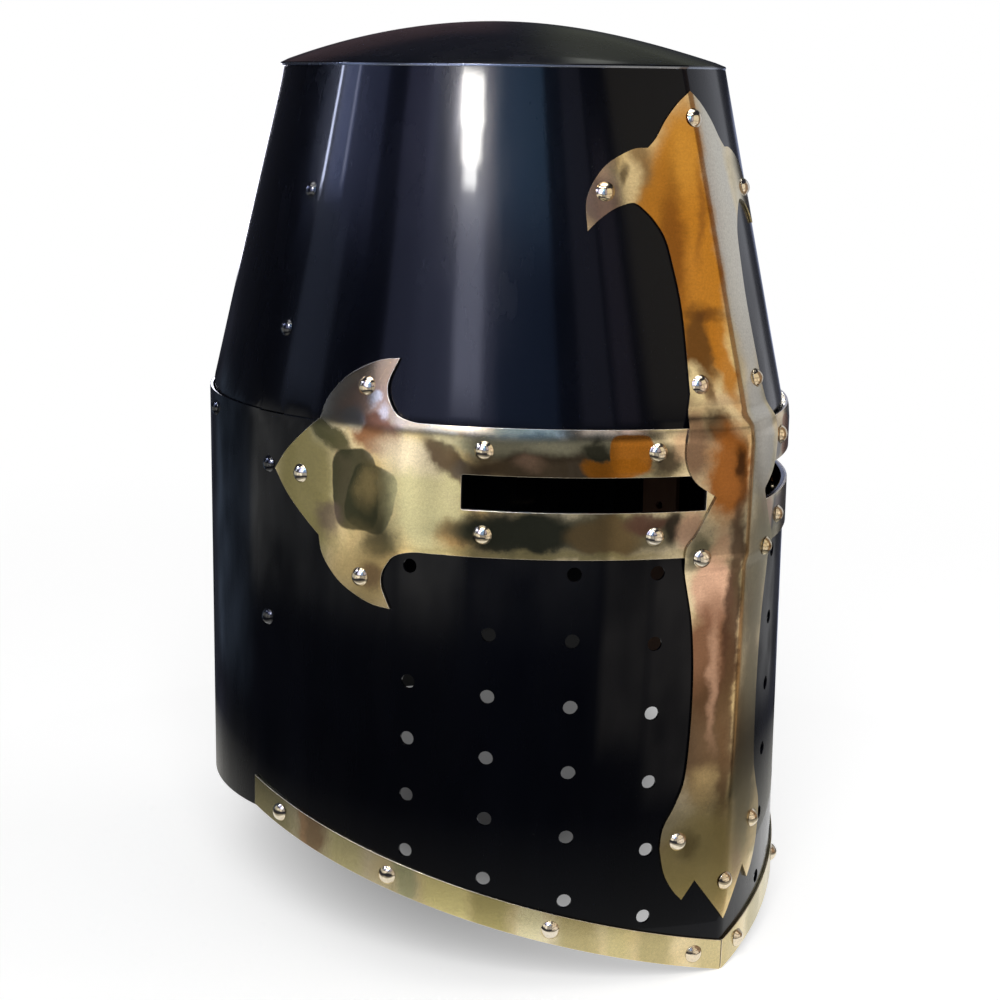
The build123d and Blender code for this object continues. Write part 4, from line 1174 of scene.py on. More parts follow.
def brass(name, tones, roughness, dent, paintedLightAndTarnish=(), paired=False):
    finish, tree, shader = startFinish(name)
    gold, pale, olive, copper = tones
    broad = cloud(tree, 20.0, (1, 1, 0.7), 3, 0.55, (3.1, 0.4, 1.7), 0.4)
    patches = cloud(tree, 34.0, (1, 1, 1), 5, 0.62, (0.7, 5.2, 2.9), 0.8)
    pink = cloud(tree, 31.0, (1, 1, 1), 3, 0.5, (9.7, 1.2, 4.4), 0.6)
    haze = cloud(tree, 90.0, (1, 1, 1), 5, 0.65, (1.3, 2.2, 0.6))
    colour = blendColour(tree, ramp(tree, broad, ((0.35, 0.0), (0.65, 1.0))), gold, pale)
    colour = blendColour(tree, ramp(tree, patches, ((0.5, 0.0), (0.68, 0.8))), colour, olive)
    colour = blendColour(tree, ramp(tree, pink, ((0.58, 0.0), (0.7, 0.6))), colour, copper)
    gloss = ramp(tree, haze, ((0.3, roughness * 0.75), (0.75, roughness * 1.6)))
    if paintedLightAndTarnish:
        place, calm = sheetPlace(tree, 11.0, paired), sheetPlace(tree, 2.5, paired)
    # the patches paint reflections, highlights and shade, mixed with tarnish, into the colour and roughness
    for centre, reach, turn, edge, tone, amount, dull in paintedLightAndTarnish:
        crisp = edge < 0.15  # a crisp patch is squarer and less stirred
        spot = ovalRange(tree, calm if crisp else place, centre, reach, turn, 1 + edge, 1 - edge, crisp)
        share = worked(tree, "MULTIPLY", spot, amount)
        colour = blendColour(tree, share, colour, tone)
        gloss = blendColour(tree, share, gloss, (dull, dull, dull))
    # the rounded edges: polish, and a pale cream colour that paints an edge highlight
    wornAndHighlight = carried(tree, "wornAndHighlight")
    colour = blendColour(tree, wornAndHighlight, colour, (1.0, 0.9, 0.7))
    gloss = blendColour(tree, wornAndHighlight, gloss, (0.42, 0.42, 0.42))
    grain = cloud(tree, 1300.0, (1, 1, 1), 2, 0.7, (4.0, 4.0, 4.0))
    streak = cloud(tree, 160.0, (1, 1, 9), 3, 0.6, (6.0, 1.0, 2.0))
    speckle = blendColour(tree, 1.0, ramp(tree, grain, ((0.25, 0.8), (0.75, 1.0))),
                          ramp(tree, streak, ((0.3, 0.95), (0.7, 1.0))), "MULTIPLY")
    colour = blendColour(tree, 1.0, colour, speckle, "MULTIPLY")
    fill(tree, shader, {"Base Color": colour, "Roughness": gloss, "Metallic": 1.0})
    dents(tree, shader, [
        (cloud(tree, 26.0, (1, 1, 0.8), 2, 0.5, (2.0, 7.0, 1.0), 0.3), dent),
        (cloud(tree, 120.0, (1, 1, 1), 2, 0.5), dent * 0.08),
        (cloud(tree, 900.0, (1, 1, 1), 3), 0.000005),
    ])
    return finish


def leather(name, dark, light, grainScale):
    finish, tree, shader = startFinish(name)
    tone = ramp(tree, cloud(tree, 18.0, (1, 1, 1), 4, 0.6), ((0.3, dark), (0.72, light)))
    fill(tree, shader, {"Base Color": tone, "Roughness": 0.62, "Specular IOR Level": 0.35})
    grain = {"Vector": objectPlace(tree), "Scale": grainScale}
    cells = addNode(tree, "TexVoronoi", grain, feature="SMOOTH_F1")
    dents(tree, shader, [(cells.outputs["Distance"], 0.00012), (cloud(tree, 70.0, detail=4), 0.0002)])
    return finish


crossTones = (0.78, 0.56, 0.24), (0.86, 0.76, 0.52), (0.46, 0.4, 0.2), (0.72, 0.44, 0.3)
trimTones = (0.82, 0.64, 0.33), (0.88, 0.79, 0.55), (0.55, 0.47, 0.22), (0.78, 0.58, 0.42)
rivetTones = (0.84, 0.7, 0.48), (0.88, 0.8, 0.66), (0.7, 0.58, 0.36), (0.8, 0.6, 0.48)
buckleTones = (0.74, 0.52, 0.22), (0.82, 0.66, 0.38), (0.45, 0.36, 0.16), (0.66, 0.4, 0.24)

# Painted reflections, highlights and shade on the brass, mixed with tarnish: centre and reach in millimetres
# on the sheet, turn in degrees, edge, tone, amount and dullness
armPaintedLightAndTarnish = (
    ((166.0, 177.5), (16.0, 27.0), 0, 0.3, (0.34, 0.29, 0.115), 0.9, 0.26),
    ((155.0, 208.0), (8.0, 11.0), 20, 0.7, (0.86, 0.8, 0.58), 0.85, 0.16),
    ((131.0, 221.0), (11.0, 8.0), 0, 0.6, (0.6, 0.38, 0.18), 0.8, 0.18),
    ((138.5, 208.5), (12.0, 8.5), 0, 0.5, (0.66, 0.42, 0.24), 0.85, 0.2),
    ((134.5, 199.3), (12.0, 6.6), 18, 0.25, (0.34, 0.15, 0.07), 0.95, 0.24),
    ((136.3, 211.5), (3.0, 2.6), 0, 0.5, (0.95, 0.88, 0.66), 0.95, 0.12),
    ((145.0, 203.5), (5.0, 4.2), 0, 0.4, (0.95, 0.88, 0.66), 0.95, 0.12),
    ((131.0, 206.5), (2.6, 2.4), 0, 0.6, (0.95, 0.84, 0.62), 0.8, 0.12),
    ((155.0, 197.2), (12.0, 3.8), 28, 0.4, (0.07, 0.07, 0.028), 0.9, 0.3),
    ((142.5, 178.5), (9.5, 14.5), -4, 0.07, (0.045, 0.046, 0.026), 0.94, 0.26),
    ((136.0, 176.0), (9.5, 12.0), 14, 0.07, (0.045, 0.046, 0.026), 0.94, 0.26),
    ((136.5, 181.0), (4.2, 7.0), 12, 0.8, (0.26, 0.2, 0.09), 0.75, 0.3),
    ((154.0, 166.5), (6.0, 6.0), 0, 0.5, (0.17, 0.12, 0.1), 0.75, 0.26),
    ((132.0, 160.5), (6.4, 5.6), -40, 0.5, (0.05, 0.05, 0.03), 0.9, 0.26),
    ((142.0, 148.0), (13.0, 14.0), 0, 0.6, (0.44, 0.33, 0.15), 0.7, 0.2),
    ((136.0, 147.5), (4.6, 4.2), 0, 0.5, (0.2, 0.12, 0.07), 0.75, 0.2),
    ((113.0, 178.0), (15.0, 22.0), 0, 0.4, (0.62, 0.58, 0.33), 0.9, 0.2),
    ((121.0, 193.0), (12.0, 6.0), 10, 0.6, (0.84, 0.72, 0.52), 0.85, 0.16),
    ((104.5, 165.0), (6.0, 6.0), 0, 0.5, (0.36, 0.2, 0.07), 0.8, 0.2),
    ((107.0, 192.0), (11.5, 4.0), 42, 0.35, (0.1, 0.055, 0.03), 0.88, 0.2),
    ((99.0, 188.6), (7.0, 3.0), 0, 0.5, (0.18, 0.16, 0.13), 0.75, 0.2),
    ((104.0, 199.0), (10.0, 2.6), 12, 0.5, (0.95, 0.86, 0.54), 0.85, 0.12),
    ((72.0, 197.5), (34.0, 5.0), 0, 0.3, (0.3, 0.29, 0.19), 0.9, 0.2),
    ((72.0, 190.0), (32.0, 5.6), 0, 0.4, (0.045, 0.026, 0.015), 0.92, 0.2),
    ((78.0, 192.0), (5.0, 2.6), 0, 0.6, (0.3, 0.19, 0.12), 0.8, 0.2),
    ((54.5, 196.5), (5.6, 3.4), 10, 0.4, (0.04, 0.04, 0.025), 0.9, 0.2),
    ((43.5, 195.6), (7.4, 6.6), 0, 0.1, (0.56, 0.2, 0.018), 0.95, 0.2),
    ((48.0, 190.0), (11.5, 4.0), 0, 0.2, (0.5, 0.18, 0.018), 0.92, 0.2),
    ((30.5, 192.0), (5.0, 6.0), 0, 0.5, (0.05, 0.036, 0.025), 0.9, 0.2),
    ((24.5, 198.5), (4.6, 6.0), 0, 0.5, (0.7, 0.5, 0.32), 0.85, 0.16),
    ((62.0, 167.5), (46.0, 7.6), 0, 0.3, (0.1, 0.095, 0.055), 0.85, 0.22),
    ((81.0, 167.0), (24.0, 7.8), 0, 0.3, (0.032, 0.036, 0.026), 0.95, 0.22),
    ((51.5, 166.5), (13.0, 7.0), 0, 0.3, (0.2, 0.14, 0.065), 0.9, 0.22),
    ((36.0, 171.5), (7.5, 3.0), 0, 0.5, (0.13, 0.06, 0.045), 0.85, 0.2),
    ((28.0, 168.5), (2.6, 7.0), -8, 0.5, (0.036, 0.03, 0.024), 0.9, 0.2),
    ((20.5, 167.5), (5.2, 8.0), 0, 0.4, (0.78, 0.52, 0.36), 0.88, 0.16),
    ((70.0, 159.2), (42.0, 1.4), 0, 0.8, (0.34, 0.29, 0.13), 0.85, 0.2),
)
# painted reflections, highlights and shade on the upright, mixed with tarnish
uprightPaintedLightAndTarnish = (
    ((-14.0, 264.0), (20.0, 52.0), -12, 0.22, (0.56, 0.23, 0.022), 0.95, 0.2),
    ((-23.0, 283.0), (9.0, 15.0), -30, 0.4, (0.46, 0.2, 0.03), 0.9, 0.2),
    ((-8.0, 296.0), (9.0, 14.0), -10, 0.6, (0.72, 0.36, 0.06), 0.7, 0.18),
    ((-20.0, 262.0), (5.0, 26.0), -8, 0.7, (0.22, 0.08, 0.015), 0.85, 0.2),
    ((-31.0, 291.0), (5.0, 10.0), -20, 0.5, (0.24, 0.15, 0.07), 0.85, 0.2),
    ((-37.0, 286.0), (6.0, 8.0), -20, 0.5, (0.86, 0.72, 0.44), 0.8, 0.14),
    ((-38.5, 289.0), (1.8, 3.6), -10, 0.6, (0.12, 0.08, 0.04), 0.8, 0.2),
    ((-49.0, 281.0), (8.0, 9.0), 0, 0.4, (0.22, 0.15, 0.1), 0.8, 0.2),
    ((-5.0, 276.0), (1.8, 14.0), -14, 0.8, (0.3, 0.12, 0.025), 0.7, 0.2),
    ((-13.0, 232.0), (7.5, 13.0), -8, 0.35, (0.13, 0.06, 0.02), 0.9, 0.2),
    ((-5.5, 228.0), (3.6, 17.0), 10, 0.4, (0.56, 0.23, 0.03), 0.9, 0.2),
    ((-9.0, 243.0), (9.0, 2.2), 0, 0.8, (0.1, 0.04, 0.015), 0.7, 0.2),
    ((-20.0, 217.5), (7.5, 8.0), 0, 0.35, (0.92, 0.8, 0.5), 0.9, 0.14),
    ((-13.0, 217.5), (2.2, 5.0), 20, 0.6, (0.14, 0.07, 0.03), 0.8, 0.2),
    ((-22.0, 222.0), (3.0, 2.0), 20, 0.6, (0.2, 0.14, 0.07), 0.7, 0.2),
    ((-21.0, 198.0), (6.0, 14.0), 0, 0.5, (0.2, 0.11, 0.07), 0.9, 0.2),
    ((-12.0, 204.5), (5.0, 6.0), 0, 0.5, (0.06, 0.03, 0.016), 0.9, 0.2),
    ((-8.0, 187.0), (8.5, 18.0), 0, 0.35, (0.34, 0.11, 0.012), 0.95, 0.2),
    ((-5.0, 191.0), (2.6, 5.5), 10, 0.6, (0.05, 0.022, 0.01), 0.9, 0.2),
    ((-18.0, 160.5), (6.0, 7.0), 0, 0.5, (0.1, 0.1, 0.065), 0.9, 0.24),
    ((-10.0, 160.0), (4.0, 8.0), -8, 0.5, (0.5, 0.32, 0.2), 0.85, 0.2),
    ((-12.0, 146.0), (7.5, 12.0), 8, 0.3, (0.8, 0.5, 0.35), 0.92, 0.18),
    ((-12.0, 120.0), (11.0, 22.0), 0, 0.3, (0.22, 0.1, 0.055), 0.94, 0.22),
    ((-12.5, 90.0), (11.0, 24.0), 0, 0.35, (0.12, 0.066, 0.034), 0.94, 0.22),
    ((-10.0, 116.0), (2.0, 20.0), 2, 0.8, (0.6, 0.37, 0.25), 0.8, 0.18),
    ((-12.0, 72.0), (7.0, 8.0), 0, 0.6, (0.56, 0.42, 0.2), 0.75, 0.2),
    ((-3.6, 142.0), (3.6, 40.0), 0, 0.4, (0.08, 0.04, 0.024), 0.9, 0.2),
    ((-3.6, 88.0), (3.0, 34.0), 0, 0.5, (0.17, 0.1, 0.05), 0.85, 0.2),
    ((-12.0, 44.0), (18.0, 21.0), 0, 0.35, (0.46, 0.36, 0.14), 0.85, 0.26),
    ((-17.0, 51.0), (4.4, 5.5), 20, 0.6, (0.2, 0.15, 0.06), 0.7, 0.24),
    ((13.0, 272.0), (12.0, 60.0), 0, 0.3, (0.72, 0.68, 0.56), 0.9, 0.24),
    ((11.0, 198.0), (9.0, 21.0), 0, 0.3, (0.58, 0.54, 0.44), 0.9, 0.24),
    ((11.0, 150.0), (10.0, 28.0), 0, 0.4, (0.32, 0.28, 0.17), 0.88, 0.26),
    ((11.0, 84.0), (10.0, 48.0), 0, 0.4, (0.25, 0.21, 0.11), 0.85, 0.26),
)
# painted reflections on the trims, in pale and dark bands, mixed with tarnish
trimPaintedLightAndTarnish = (
    ((185.0, 60.0), (13.0, 40.0), 0, 0.4, (0.42, 0.38, 0.2), 0.85, 0.26),
    ((161.0, 50.0), (7.0, 40.0), 0, 0.5, (0.36, 0.22, 0.12), 0.85, 0.22),
    ((166.0, 50.0), (2.0, 40.0), 0, 0.8, (0.66, 0.42, 0.24), 0.8, 0.2),
    ((145.0, 45.0), (8.0, 40.0), 0, 0.5, (0.8, 0.72, 0.36), 0.8, 0.2),
    ((120.0, 40.0), (3.6, 40.0), 0, 0.6, (0.5, 0.5, 0.28), 0.8, 0.24),
    ((104.0, 35.0), (9.5, 40.0), 0, 0.4, (0.96, 0.84, 0.38), 0.85, 0.18),
    ((88.0, 30.0), (7.0, 40.0), 0, 0.5, (0.48, 0.42, 0.16), 0.8, 0.24),
    ((74.0, 30.0), (4.4, 40.0), 0, 0.5, (0.9, 0.82, 0.5), 0.75, 0.2),
    ((57.0, 25.0), (8.0, 40.0), 0, 0.5, (0.46, 0.38, 0.15), 0.75, 0.24),
    ((42.0, 20.0), (5.0, 40.0), 0, 0.6, (0.6, 0.52, 0.24), 0.7, 0.2),
    ((28.0, 16.0), (7.0, 40.0), 0, 0.5, (0.42, 0.36, 0.16), 0.7, 0.24),
    ((5.0, 10.0), (7.0, 40.0), 0, 0.5, (0.6, 0.5, 0.24), 0.7, 0.2),
)

lipFoot = (helm["wallHeight"] + helm["topSteel"] - 0.75) * mm  # the top plate's rim is bare below this: wear, and a painted highlight along the rim

finishes = {
    "plates": blackPaint("glossBlackPaint", 0.0004),
    "dome": blackPaint("glossBlackDome", 0.0004, bareWithHighlightBelow=lipFoot),
    "blackRivets": blackPaint("glossBlackRivets", 0.00005, 1.0, 1.6),
    "arms": brass("crossArmBrass", crossTones, 0.13, 0.00035, armPaintedLightAndTarnish, paired=True),
    "upright": brass("crossUprightBrass", crossTones, 0.13, 0.0004, uprightPaintedLightAndTarnish),
    "trim": brass("paleTrimBrass", trimTones, 0.2, 0.0003, trimPaintedLightAndTarnish, paired=True),
    "brightRivets": brass("brightRivetBrass", rivetTones, 0.1, 0.00005),
    "buckle": brass("buckleBrass", buckleTones, 0.2, 0.00005),
    "liner": leather("russetLinerLeather", (0.17, 0.075, 0.03), (0.3, 0.15, 0.07), 900.0),
    "thread": leather("linenThread", (0.4, 0.31, 0.19), (0.6, 0.5, 0.35), 2400.0),
    "strap": leather("darkStrapLeather", (0.05, 0.022, 0.01), (0.11, 0.05, 0.023), 1100.0),
}

# Making and fitting every piece

print("forming the plates")
plateMakers = {
    "face_plate": makeFacePlate, "lower_back_plate": makeLowerBack,
    "upper_front_plate": makeUpperFront, "upper_back_plate": makeUpperBack,
}
for node, make in plateMakers.items():
    dress(make(), "helm", "black_paint", finishes["plates"], node)
dress(makeTopPlate(), "helm", "dome_paint", finishes["dome"], "top_plate")

print("cutting the cross and the trims")
sides = (("Right", "right", rightSide), ("Left", "left", leftSide))
for label, side, way in sides:
    dress(makeArm(way, "crossArm" + label), "helm", "cross_brass", finishes["arms"], "cross_arm_" + side)
    dress(makeTrim(way, "rimTrim" + label), "helm", "trim_brass", finishes["trim"], "rim_trim_" + side)
dress(makeUpright(), "helm", "cross_brass", finishes["upright"], "cross_upright")

print("setting the rivets")


def setBright(name, spots, node):
    dress(rivetBatch(name, spots, rivets["brassHead"]), "helm", "rivet_brass", finishes["brightRivets"], node)


def setBlack(name, spots, node):
    dress(rivetBatch(name, spots, rivets["blackHead"]), "helm", "rivet_paint", finishes["blackRivets"], node)


for label, side, way in sides:
    setBright("crossArmRivets" + label, armSpots(way), "cross_arm_rivets_" + side)
    setBright("rimTrimRivets" + label, trimSpots(way), "rim_trim_rivets_" + side)
    setBlack("seamRivets" + label, seamSpots(way), "seam_rivets_" + side)
setBright("crossUprightRivets", uprightSpots(), "cross_upright_rivets")
setBlack("browRivets", browSpots(), "brow_rivets")

print("sewing the liner")
dress(makeBand(True, "linerBandFront"), "helm", "liner_leather", finishes["liner"], "liner_band_front")
dress(makeBand(False, "linerBandBack"), "helm", "liner_leather", finishes["liner"], "liner_band_back")
for index in range(liner["leaves"]):
    node = "liner_leaf_%d" % (index + 1)
    dress(makeLeaf(index, "linerLeaf%d" % (index + 1)), "helm", "liner_leather", finishes["liner"], node)
dress(makeDisc(), "helm", "liner_leather", finishes["liner"], "liner_crown_disc")
dress(makeThreads(), "helm", "liner_leather", finishes["thread"])

print("making the chin strap")
dress(makeTongue(), "helm", "strap_leather", finishes["strap"], "tongue_strap")
dress(makeBuckleStrap(), "helm", "strap_leather", finishes["strap"], "buckle_strap")
dress(makeFoldRivet(), "helm", "rivet_brass", finishes["brightRivets"], "fold_rivet")
dress(makeBuckleFrame(), "buckle_frame", "buckle_metal", finishes["buckle"], "buckle_frame")
dress(makeBuckleProng(), "buckle_prong", "buckle_metal", finishes["buckle"], "buckle_prong")


# The studio: a pale floor with a painted shadow behind the helm, soft light, a white surround and a dark tent
# that only gloss can see

# shade, shadeReach, shadeTurn, shadeFade and shadePale place a painted shadow on the floor behind the helm
studio = {"floor": 12.0, "pale": 0.86, "lift": 0.52, "fadeFrom": 0.32, "fadeTo": 0.95, "fill": 0.3,
          "shade": (0.11, 0.125), "shadeReach": (0.3, 0.132), "shadeTurn": 48.6, "shadeFade": (0.35, 1.0),
          "shadePale": 0.4, "lampAim": (0, 0, 0.15), "lampSize": 1.3}


def makeFloor():
    shape = bmesh.new()
    bmesh.ops.create_grid(shape, x_segments=2, y_segments=2, size=studio["floor"] / 2)
    floor = finishMesh("floor", shape)
    finish, tree, shader = startFinish("paleFloor")
    seen, place = seenByGloss(tree), objectPlace(tree)
    # the shade oval: the floor's colour is darker there, a painted shadow behind the helm, and its camera
    # lift is lower
    shade = [studio[key] for key in ("shade", "shadeReach", "shadeTurn")]
    clear = ovalRange(tree, place, *shade, *studio["shadeFade"])
    dark, pale = [(level, level, level) for level in (studio["pale"] * studio["shadePale"], studio["pale"])]
    tone = blendColour(tree, clear, dark, pale)
    fill(tree, shader, {"Base Color": tone, "Roughness": 0.9, "Specular IOR Level": 0.1})
    lift = worked(tree, "MULTIPLY", worked(tree, "MULTIPLY", clear, seen), studio["lift"])
    white, far = [addNode(tree, "Emission", {"Strength": level}).outputs[0] for level in (lift, seen)]
    lifted = addNode(tree, "AddShader", {0: shader.outputs[0], 1: white})
    fade = softRange(tree, lengthOf(tree, place), studio["fadeFrom"], studio["fadeTo"])
    away = worked(tree, "MULTIPLY", seen, fade)
    blend = addNode(tree, "MixShader", {"Fac": away, 1: lifted.outputs[0], 2: far})
    fill(tree, tree.nodes["Material Output"], {"Surface": blend.outputs[0]})
    floor.data.materials.append(finish)


def seenByGloss(tree):  # 1 where the camera, a gloss or a glass looks, else 0
    path = addNode(tree, "LightPath", {})
    level = path.outputs["Is Camera Ray"]
    for kind in ("Is Glossy Ray", "Is Transmission Ray"):
        level = worked(tree, "MAXIMUM", level, path.outputs[kind])
    return level


def makeWorld():
    world = bpy.data.worlds.new("whiteSurround")
    bpy.context.scene.world = world
    world.use_nodes = True
    tree = world.node_tree
    level = addNode(tree, "MapRange", {"Value": seenByGloss(tree), "To Min": studio["fill"], "To Max": 1.0})
    fill(tree, tree.nodes["Background"], {"Color": (1, 1, 1, 1), "Strength": level.outputs["Result"]})


tent = {"radius": 0.29, "head": 0.76, "steps": 360, "row": 0.006, "middle": 0.0108,
        "dark": (0.03, 0.032, 0.045), "roofGlow": (7, 7, 7.2),
        "clothFrom": 0.17, "clothGlow": (0.55, 0.54, 0.5),
        "smoke": ((1.0, 0.11, 34, 3.7), (0.5, 0.3, 80, 9.1)),  # share, scales round and up, start
        "smokeDepth": 0.9, "smokeTop": 0.26, "smokeFade": 0.06}

# Lit panels: from and to in degrees round from the nose, foot and head in metres, how soft, and their glow
panels = (
    ((-66.8, -58.2), (0.380, 0.405), (1.2, 0.006), (150, 146, 136)),
    ((-66.0, -59.0), (0.364, 0.383), (1.2, 0.006), (130, 127, 120)),
    ((-65.0, -60.4), (0.350, 0.367), (1.2, 0.008), (90, 90, 88)),
    ((-69.0, -66.0), (0.372, 0.400), (2.0, 0.010), (14, 14, 16)),
    ((-70.0, -54.0), (0.335, 0.430), (5.0, 0.030), (3.4, 3.4, 4.4)),
    ((-66.0, -57.5), (0.250, 0.350), (3.0, 0.030), (6.0, 6.2, 8.0)),
    ((-78.0, -54.0), (0.225, 0.440), (4.0, 0.030), (1.3, 1.45, 2.4)),
    ((-54.0, -37.0), (0.340, 0.440), (2.0, 0.060), (1.1, 2.1, 3.6)),
    ((-54.0, -37.0), (0.215, 0.350), (2.0, 0.050), (0.3, 0.5, 1.0)),
    ((-31.0, -23.5), (0.230, 0.440), (1.5, 0.040), (0.55, 0.55, 0.75)),
    ((-22.0, -17.0), (0.240, 0.380), (1.5, 0.040), (0.7, 0.6, 0.8)),
    ((-89.0, -76.0), (0.340, 0.440), (3.0, 0.050), (1.2, 1.25, 2.2)),
    ((-88.0, -78.0), (0.225, 0.340), (3.0, 0.030), (0.9, 1.0, 1.7)),
    ((-124.0, -108.0), (0.225, 0.320), (3.0, 0.030), (0.5, 0.6, 0.9)),
    ((-112.0, -98.0), (0.320, 0.440), (3.0, 0.060), (0.9, 1.05, 2.0)),
    ((-133.0, -126.0), (0.300, 0.420), (2.0, 0.040), (0.12, 0.15, 0.3)),
    ((-124.6, -123.3), (0.326, 0.420), (0.6, 0.010), (50, 55, 74)),
    ((-121.5, -112.5), (0.326, 0.420), (1.5, 0.020), (2.2, 2.7, 5.2)),
    ((-114.6, -113.6), (0.334, 0.420), (0.8, 0.016), (9, 9.4, 12)),
    # high up, for the edges of the sheets and the heads of the rivets
    ((-100.0, -24.0), (0.540, 0.640), (10.0, 0.030), (9, 8.8, 8.4)),
    # low down, where the flat of the cross and the cheeks look
    ((-170.0, -138.0), (0.030, 0.200), (8.0, 0.030), (0.06, 0.085, 0.12)),
    ((-138.0, -101.0), (0.092, 0.200), (5.0, 0.040), (0.56, 0.56, 0.53)),
    ((-101.0, -80.0), (0.092, 0.200), (3.0, 0.040), (0.8, 0.78, 0.72)),
    ((-79.0, -60.0), (0.092, 0.200), (3.0, 0.040), (1.0, 0.97, 0.9)),
    ((-58.0, -26.0), (0.092, 0.200), (4.0, 0.040), (0.36, 0.35, 0.34)),
    ((-24.0, -13.0), (0.030, 0.205), (2.0, 0.010), (0.6, 0.55, 0.48)),
    # in front of the nose fold: warm to one side, pale to the other
    ((-14.0, 22.0), (0.255, 0.430), (4.0, 0.020), (0.9, 0.8, 0.62)),
    ((-12.0, 24.0), (0.135, 0.245), (3.0, 0.010), (0.85, 0.74, 0.6)),
    ((-12.0, 24.0), (0.010, 0.120), (3.0, 0.020), (0.85, 0.78, 0.7)),
    ((24.0, 50.0), (0.010, 0.430), (6.0, 0.020), (0.3, 0.2, 0.12)),
    ((52.0, 84.0), (0.260, 0.430), (5.0, 0.030), (0.66, 0.68, 0.74)),
    ((52.0, 84.0), (0.140, 0.260), (5.0, 0.030), (0.55, 0.56, 0.6)),
    ((52.0, 84.0), (0.020, 0.140), (5.0, 0.030), (0.4, 0.4, 0.4)),
    # behind, for the crown
    ((84.0, 132.0), (0.390, 0.600), (9.0, 0.060), (0.08, 0.085, 0.05)),
    ((138.0, 172.0), (0.370, 0.480), (9.0, 0.050), (0.06, 0.03, 0.026)),
    ((120.0, 128.0), (0.560, 0.680), (5.0, 0.030), (0.7, 0.72, 0.66)),
    # the far sides
    ((118.0, 124.0), (0.230, 0.330), (2.0, 0.020), (20, 20, 20)),
    ((100.0, 140.0), (0.020, 0.320), (9.0, 0.030), (0.4, 0.45, 0.65)),
    ((160.0, 172.0), (0.230, 0.330), (4.0, 0.020), (6, 6, 7)),
)


def softStep(value, edges, soft):
    return ease((value - edges[0]) / soft + 0.5) * ease((edges[1] - value) / soft + 0.5)


def glowAt(azimuth, z):
    glow = Vector(tent["dark"])
    for reach, heights, soft, colour in panels:
        share = softStep(azimuth, reach, soft[0]) * softStep(z, heights, soft[1])
        glow += Vector(colour) * share
    smoke = sum(share * noise.noise(Vector((azimuth * wide, z * tall, start)))
                for share, wide, tall, start in tent["smoke"])
    return glow * (1 + tent["smokeDepth"] * smoke * ease((tent["smokeTop"] - z) / tent["smokeFade"]))


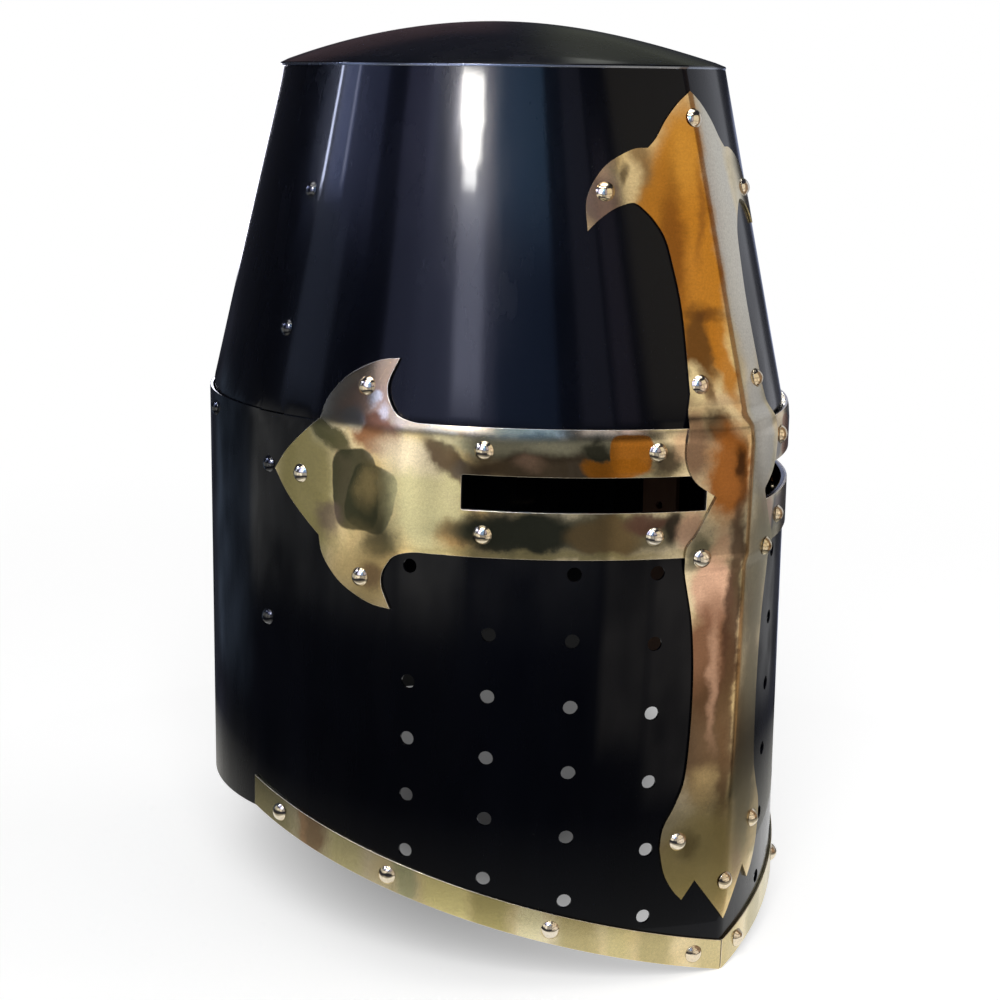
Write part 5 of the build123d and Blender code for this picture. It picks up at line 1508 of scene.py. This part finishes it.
def makeTent():
    walls = bmesh.new()
    rows = round(tent["head"] / tent["row"])
    heights = [tent["head"] * index / rows for index in range(rows + 1)]
    corners = [walls.verts.new((0, -tent["radius"], height)) for height in heights]
    lines = [walls.edges.new(pair) for pair in zip(corners, corners[1:])]
    bmesh.ops.spin(walls, geom=corners + lines, cent=(0, 0, 0), axis=(0, 0, 1), angle=2 * math.pi,
                   steps=tent["steps"], use_merge=True)
    bmesh.ops.holes_fill(walls, edges=[line for line in walls.edges if line.is_boundary
                                       and line.verts[0].co.z > tent["head"] - 0.001], sides=0)
    roof = [face for face in walls.faces if len(face.verts) > 4]
    bmesh.ops.poke(walls, faces=roof)
    cloth = bmesh.ops.extrude_edge_only(walls, edges=[line for line in walls.edges if line.is_boundary])
    for vert in [part for part in cloth["geom"] if isinstance(part, bmesh.types.BMVert)]:
        vert.co *= tent["clothFrom"] / tent["radius"]
        vert.co.z = tent["row"] / 4
    glow = walls.verts.layers.float_color.new("glow")
    for vert in walls.verts:
        reach = math.hypot(vert.co.x, vert.co.y)
        if reach < 0.01:
            colour = Vector(tent["roofGlow"])
        elif reach < tent["radius"] * 0.99:
            colour = Vector(tent["clothGlow"])
        else:
            colour = glowAt(math.degrees(math.atan2(vert.co.x, -vert.co.y)), vert.co.z)
        vert[glow] = (*colour, 1)
    bmesh.ops.translate(walls, vec=(0, tent["middle"], 0), verts=walls.verts[:])
    piece = finishMesh("darkTent", walls)
    finish, tree = startFinish("tentGlow")[:2]
    light = addNode(tree, "Emission", {"Color": carried(tree, "glow", "Color")})
    fill(tree, tree.nodes["Material Output"], {"Surface": light.outputs[0]})
    piece.data.materials.append(finish)
    for ray in ("camera", "diffuse", "shadow", "transmission"):
        setattr(piece, "visible_" + ray, False)


def addLamp(name, spot, power):
    lamp = bpy.data.lights.new(name, "AREA")
    lamp.shape = "RECTANGLE"
    lamp.size = lamp.size_y = studio["lampSize"]
    lamp.energy = power
    carrier = bpy.data.objects.new(name, lamp)
    carrier.location = spot
    carrier.rotation_euler = (Vector(studio["lampAim"]) - Vector(spot)).to_track_quat("-Z", "Y").to_euler()
    carrier.visible_glossy = False  # the tent's panels are what the gloss shows
    bpy.context.scene.collection.objects.link(carrier)


view = {
    "azimuth": -41.42, "elevation": 11.65, "roll": 0.729, "distance": 0.849631, "slide": (0.008349, 0.151501),
    "reach": 2.030709, "back": 0.0108, "sensor": 36.0,
}


def makeCamera():  # the same angle, distance and frame as the photograph
    turn, tilt, roll = (math.radians(view[key]) for key in ("azimuth", "elevation", "roll"))
    back = Vector((math.sin(turn) * math.cos(tilt), -math.cos(turn) * math.cos(tilt), math.sin(tilt)))
    level = Vector((math.cos(turn), math.sin(turn), 0))
    up = back.cross(level)
    across = level * math.cos(roll) + up * math.sin(roll)
    top = up * math.cos(roll) - level * math.sin(roll)
    spot = back * view["distance"] + across * view["slide"][0] + top * view["slide"][1]
    lens = bpy.data.cameras.new("photoCamera")
    lens.sensor_width = view["sensor"]
    lens.lens = view["reach"] * view["sensor"]
    lens.clip_start = 0.01
    camera = bpy.data.objects.new("photoCamera", lens)
    camera.matrix_world = Matrix((
        (across.x, top.x, back.x, spot.x),
        (across.y, top.y, back.y, spot.y + view["back"]),
        (across.z, top.z, back.z, spot.z),
        (0, 0, 0, 1),
    ))
    bpy.context.scene.collection.objects.link(camera)
    bpy.context.scene.camera = camera


print("lighting the studio")
makeFloor()
makeWorld()
makeTent()
addLamp("keyLight", (-1.4, -1.5, 1.9), 32)
addLamp("fillLight", (1.6, -1.0, 1.5), 6)
makeCamera()
bpy.context.scene.view_settings.view_transform = "Standard"
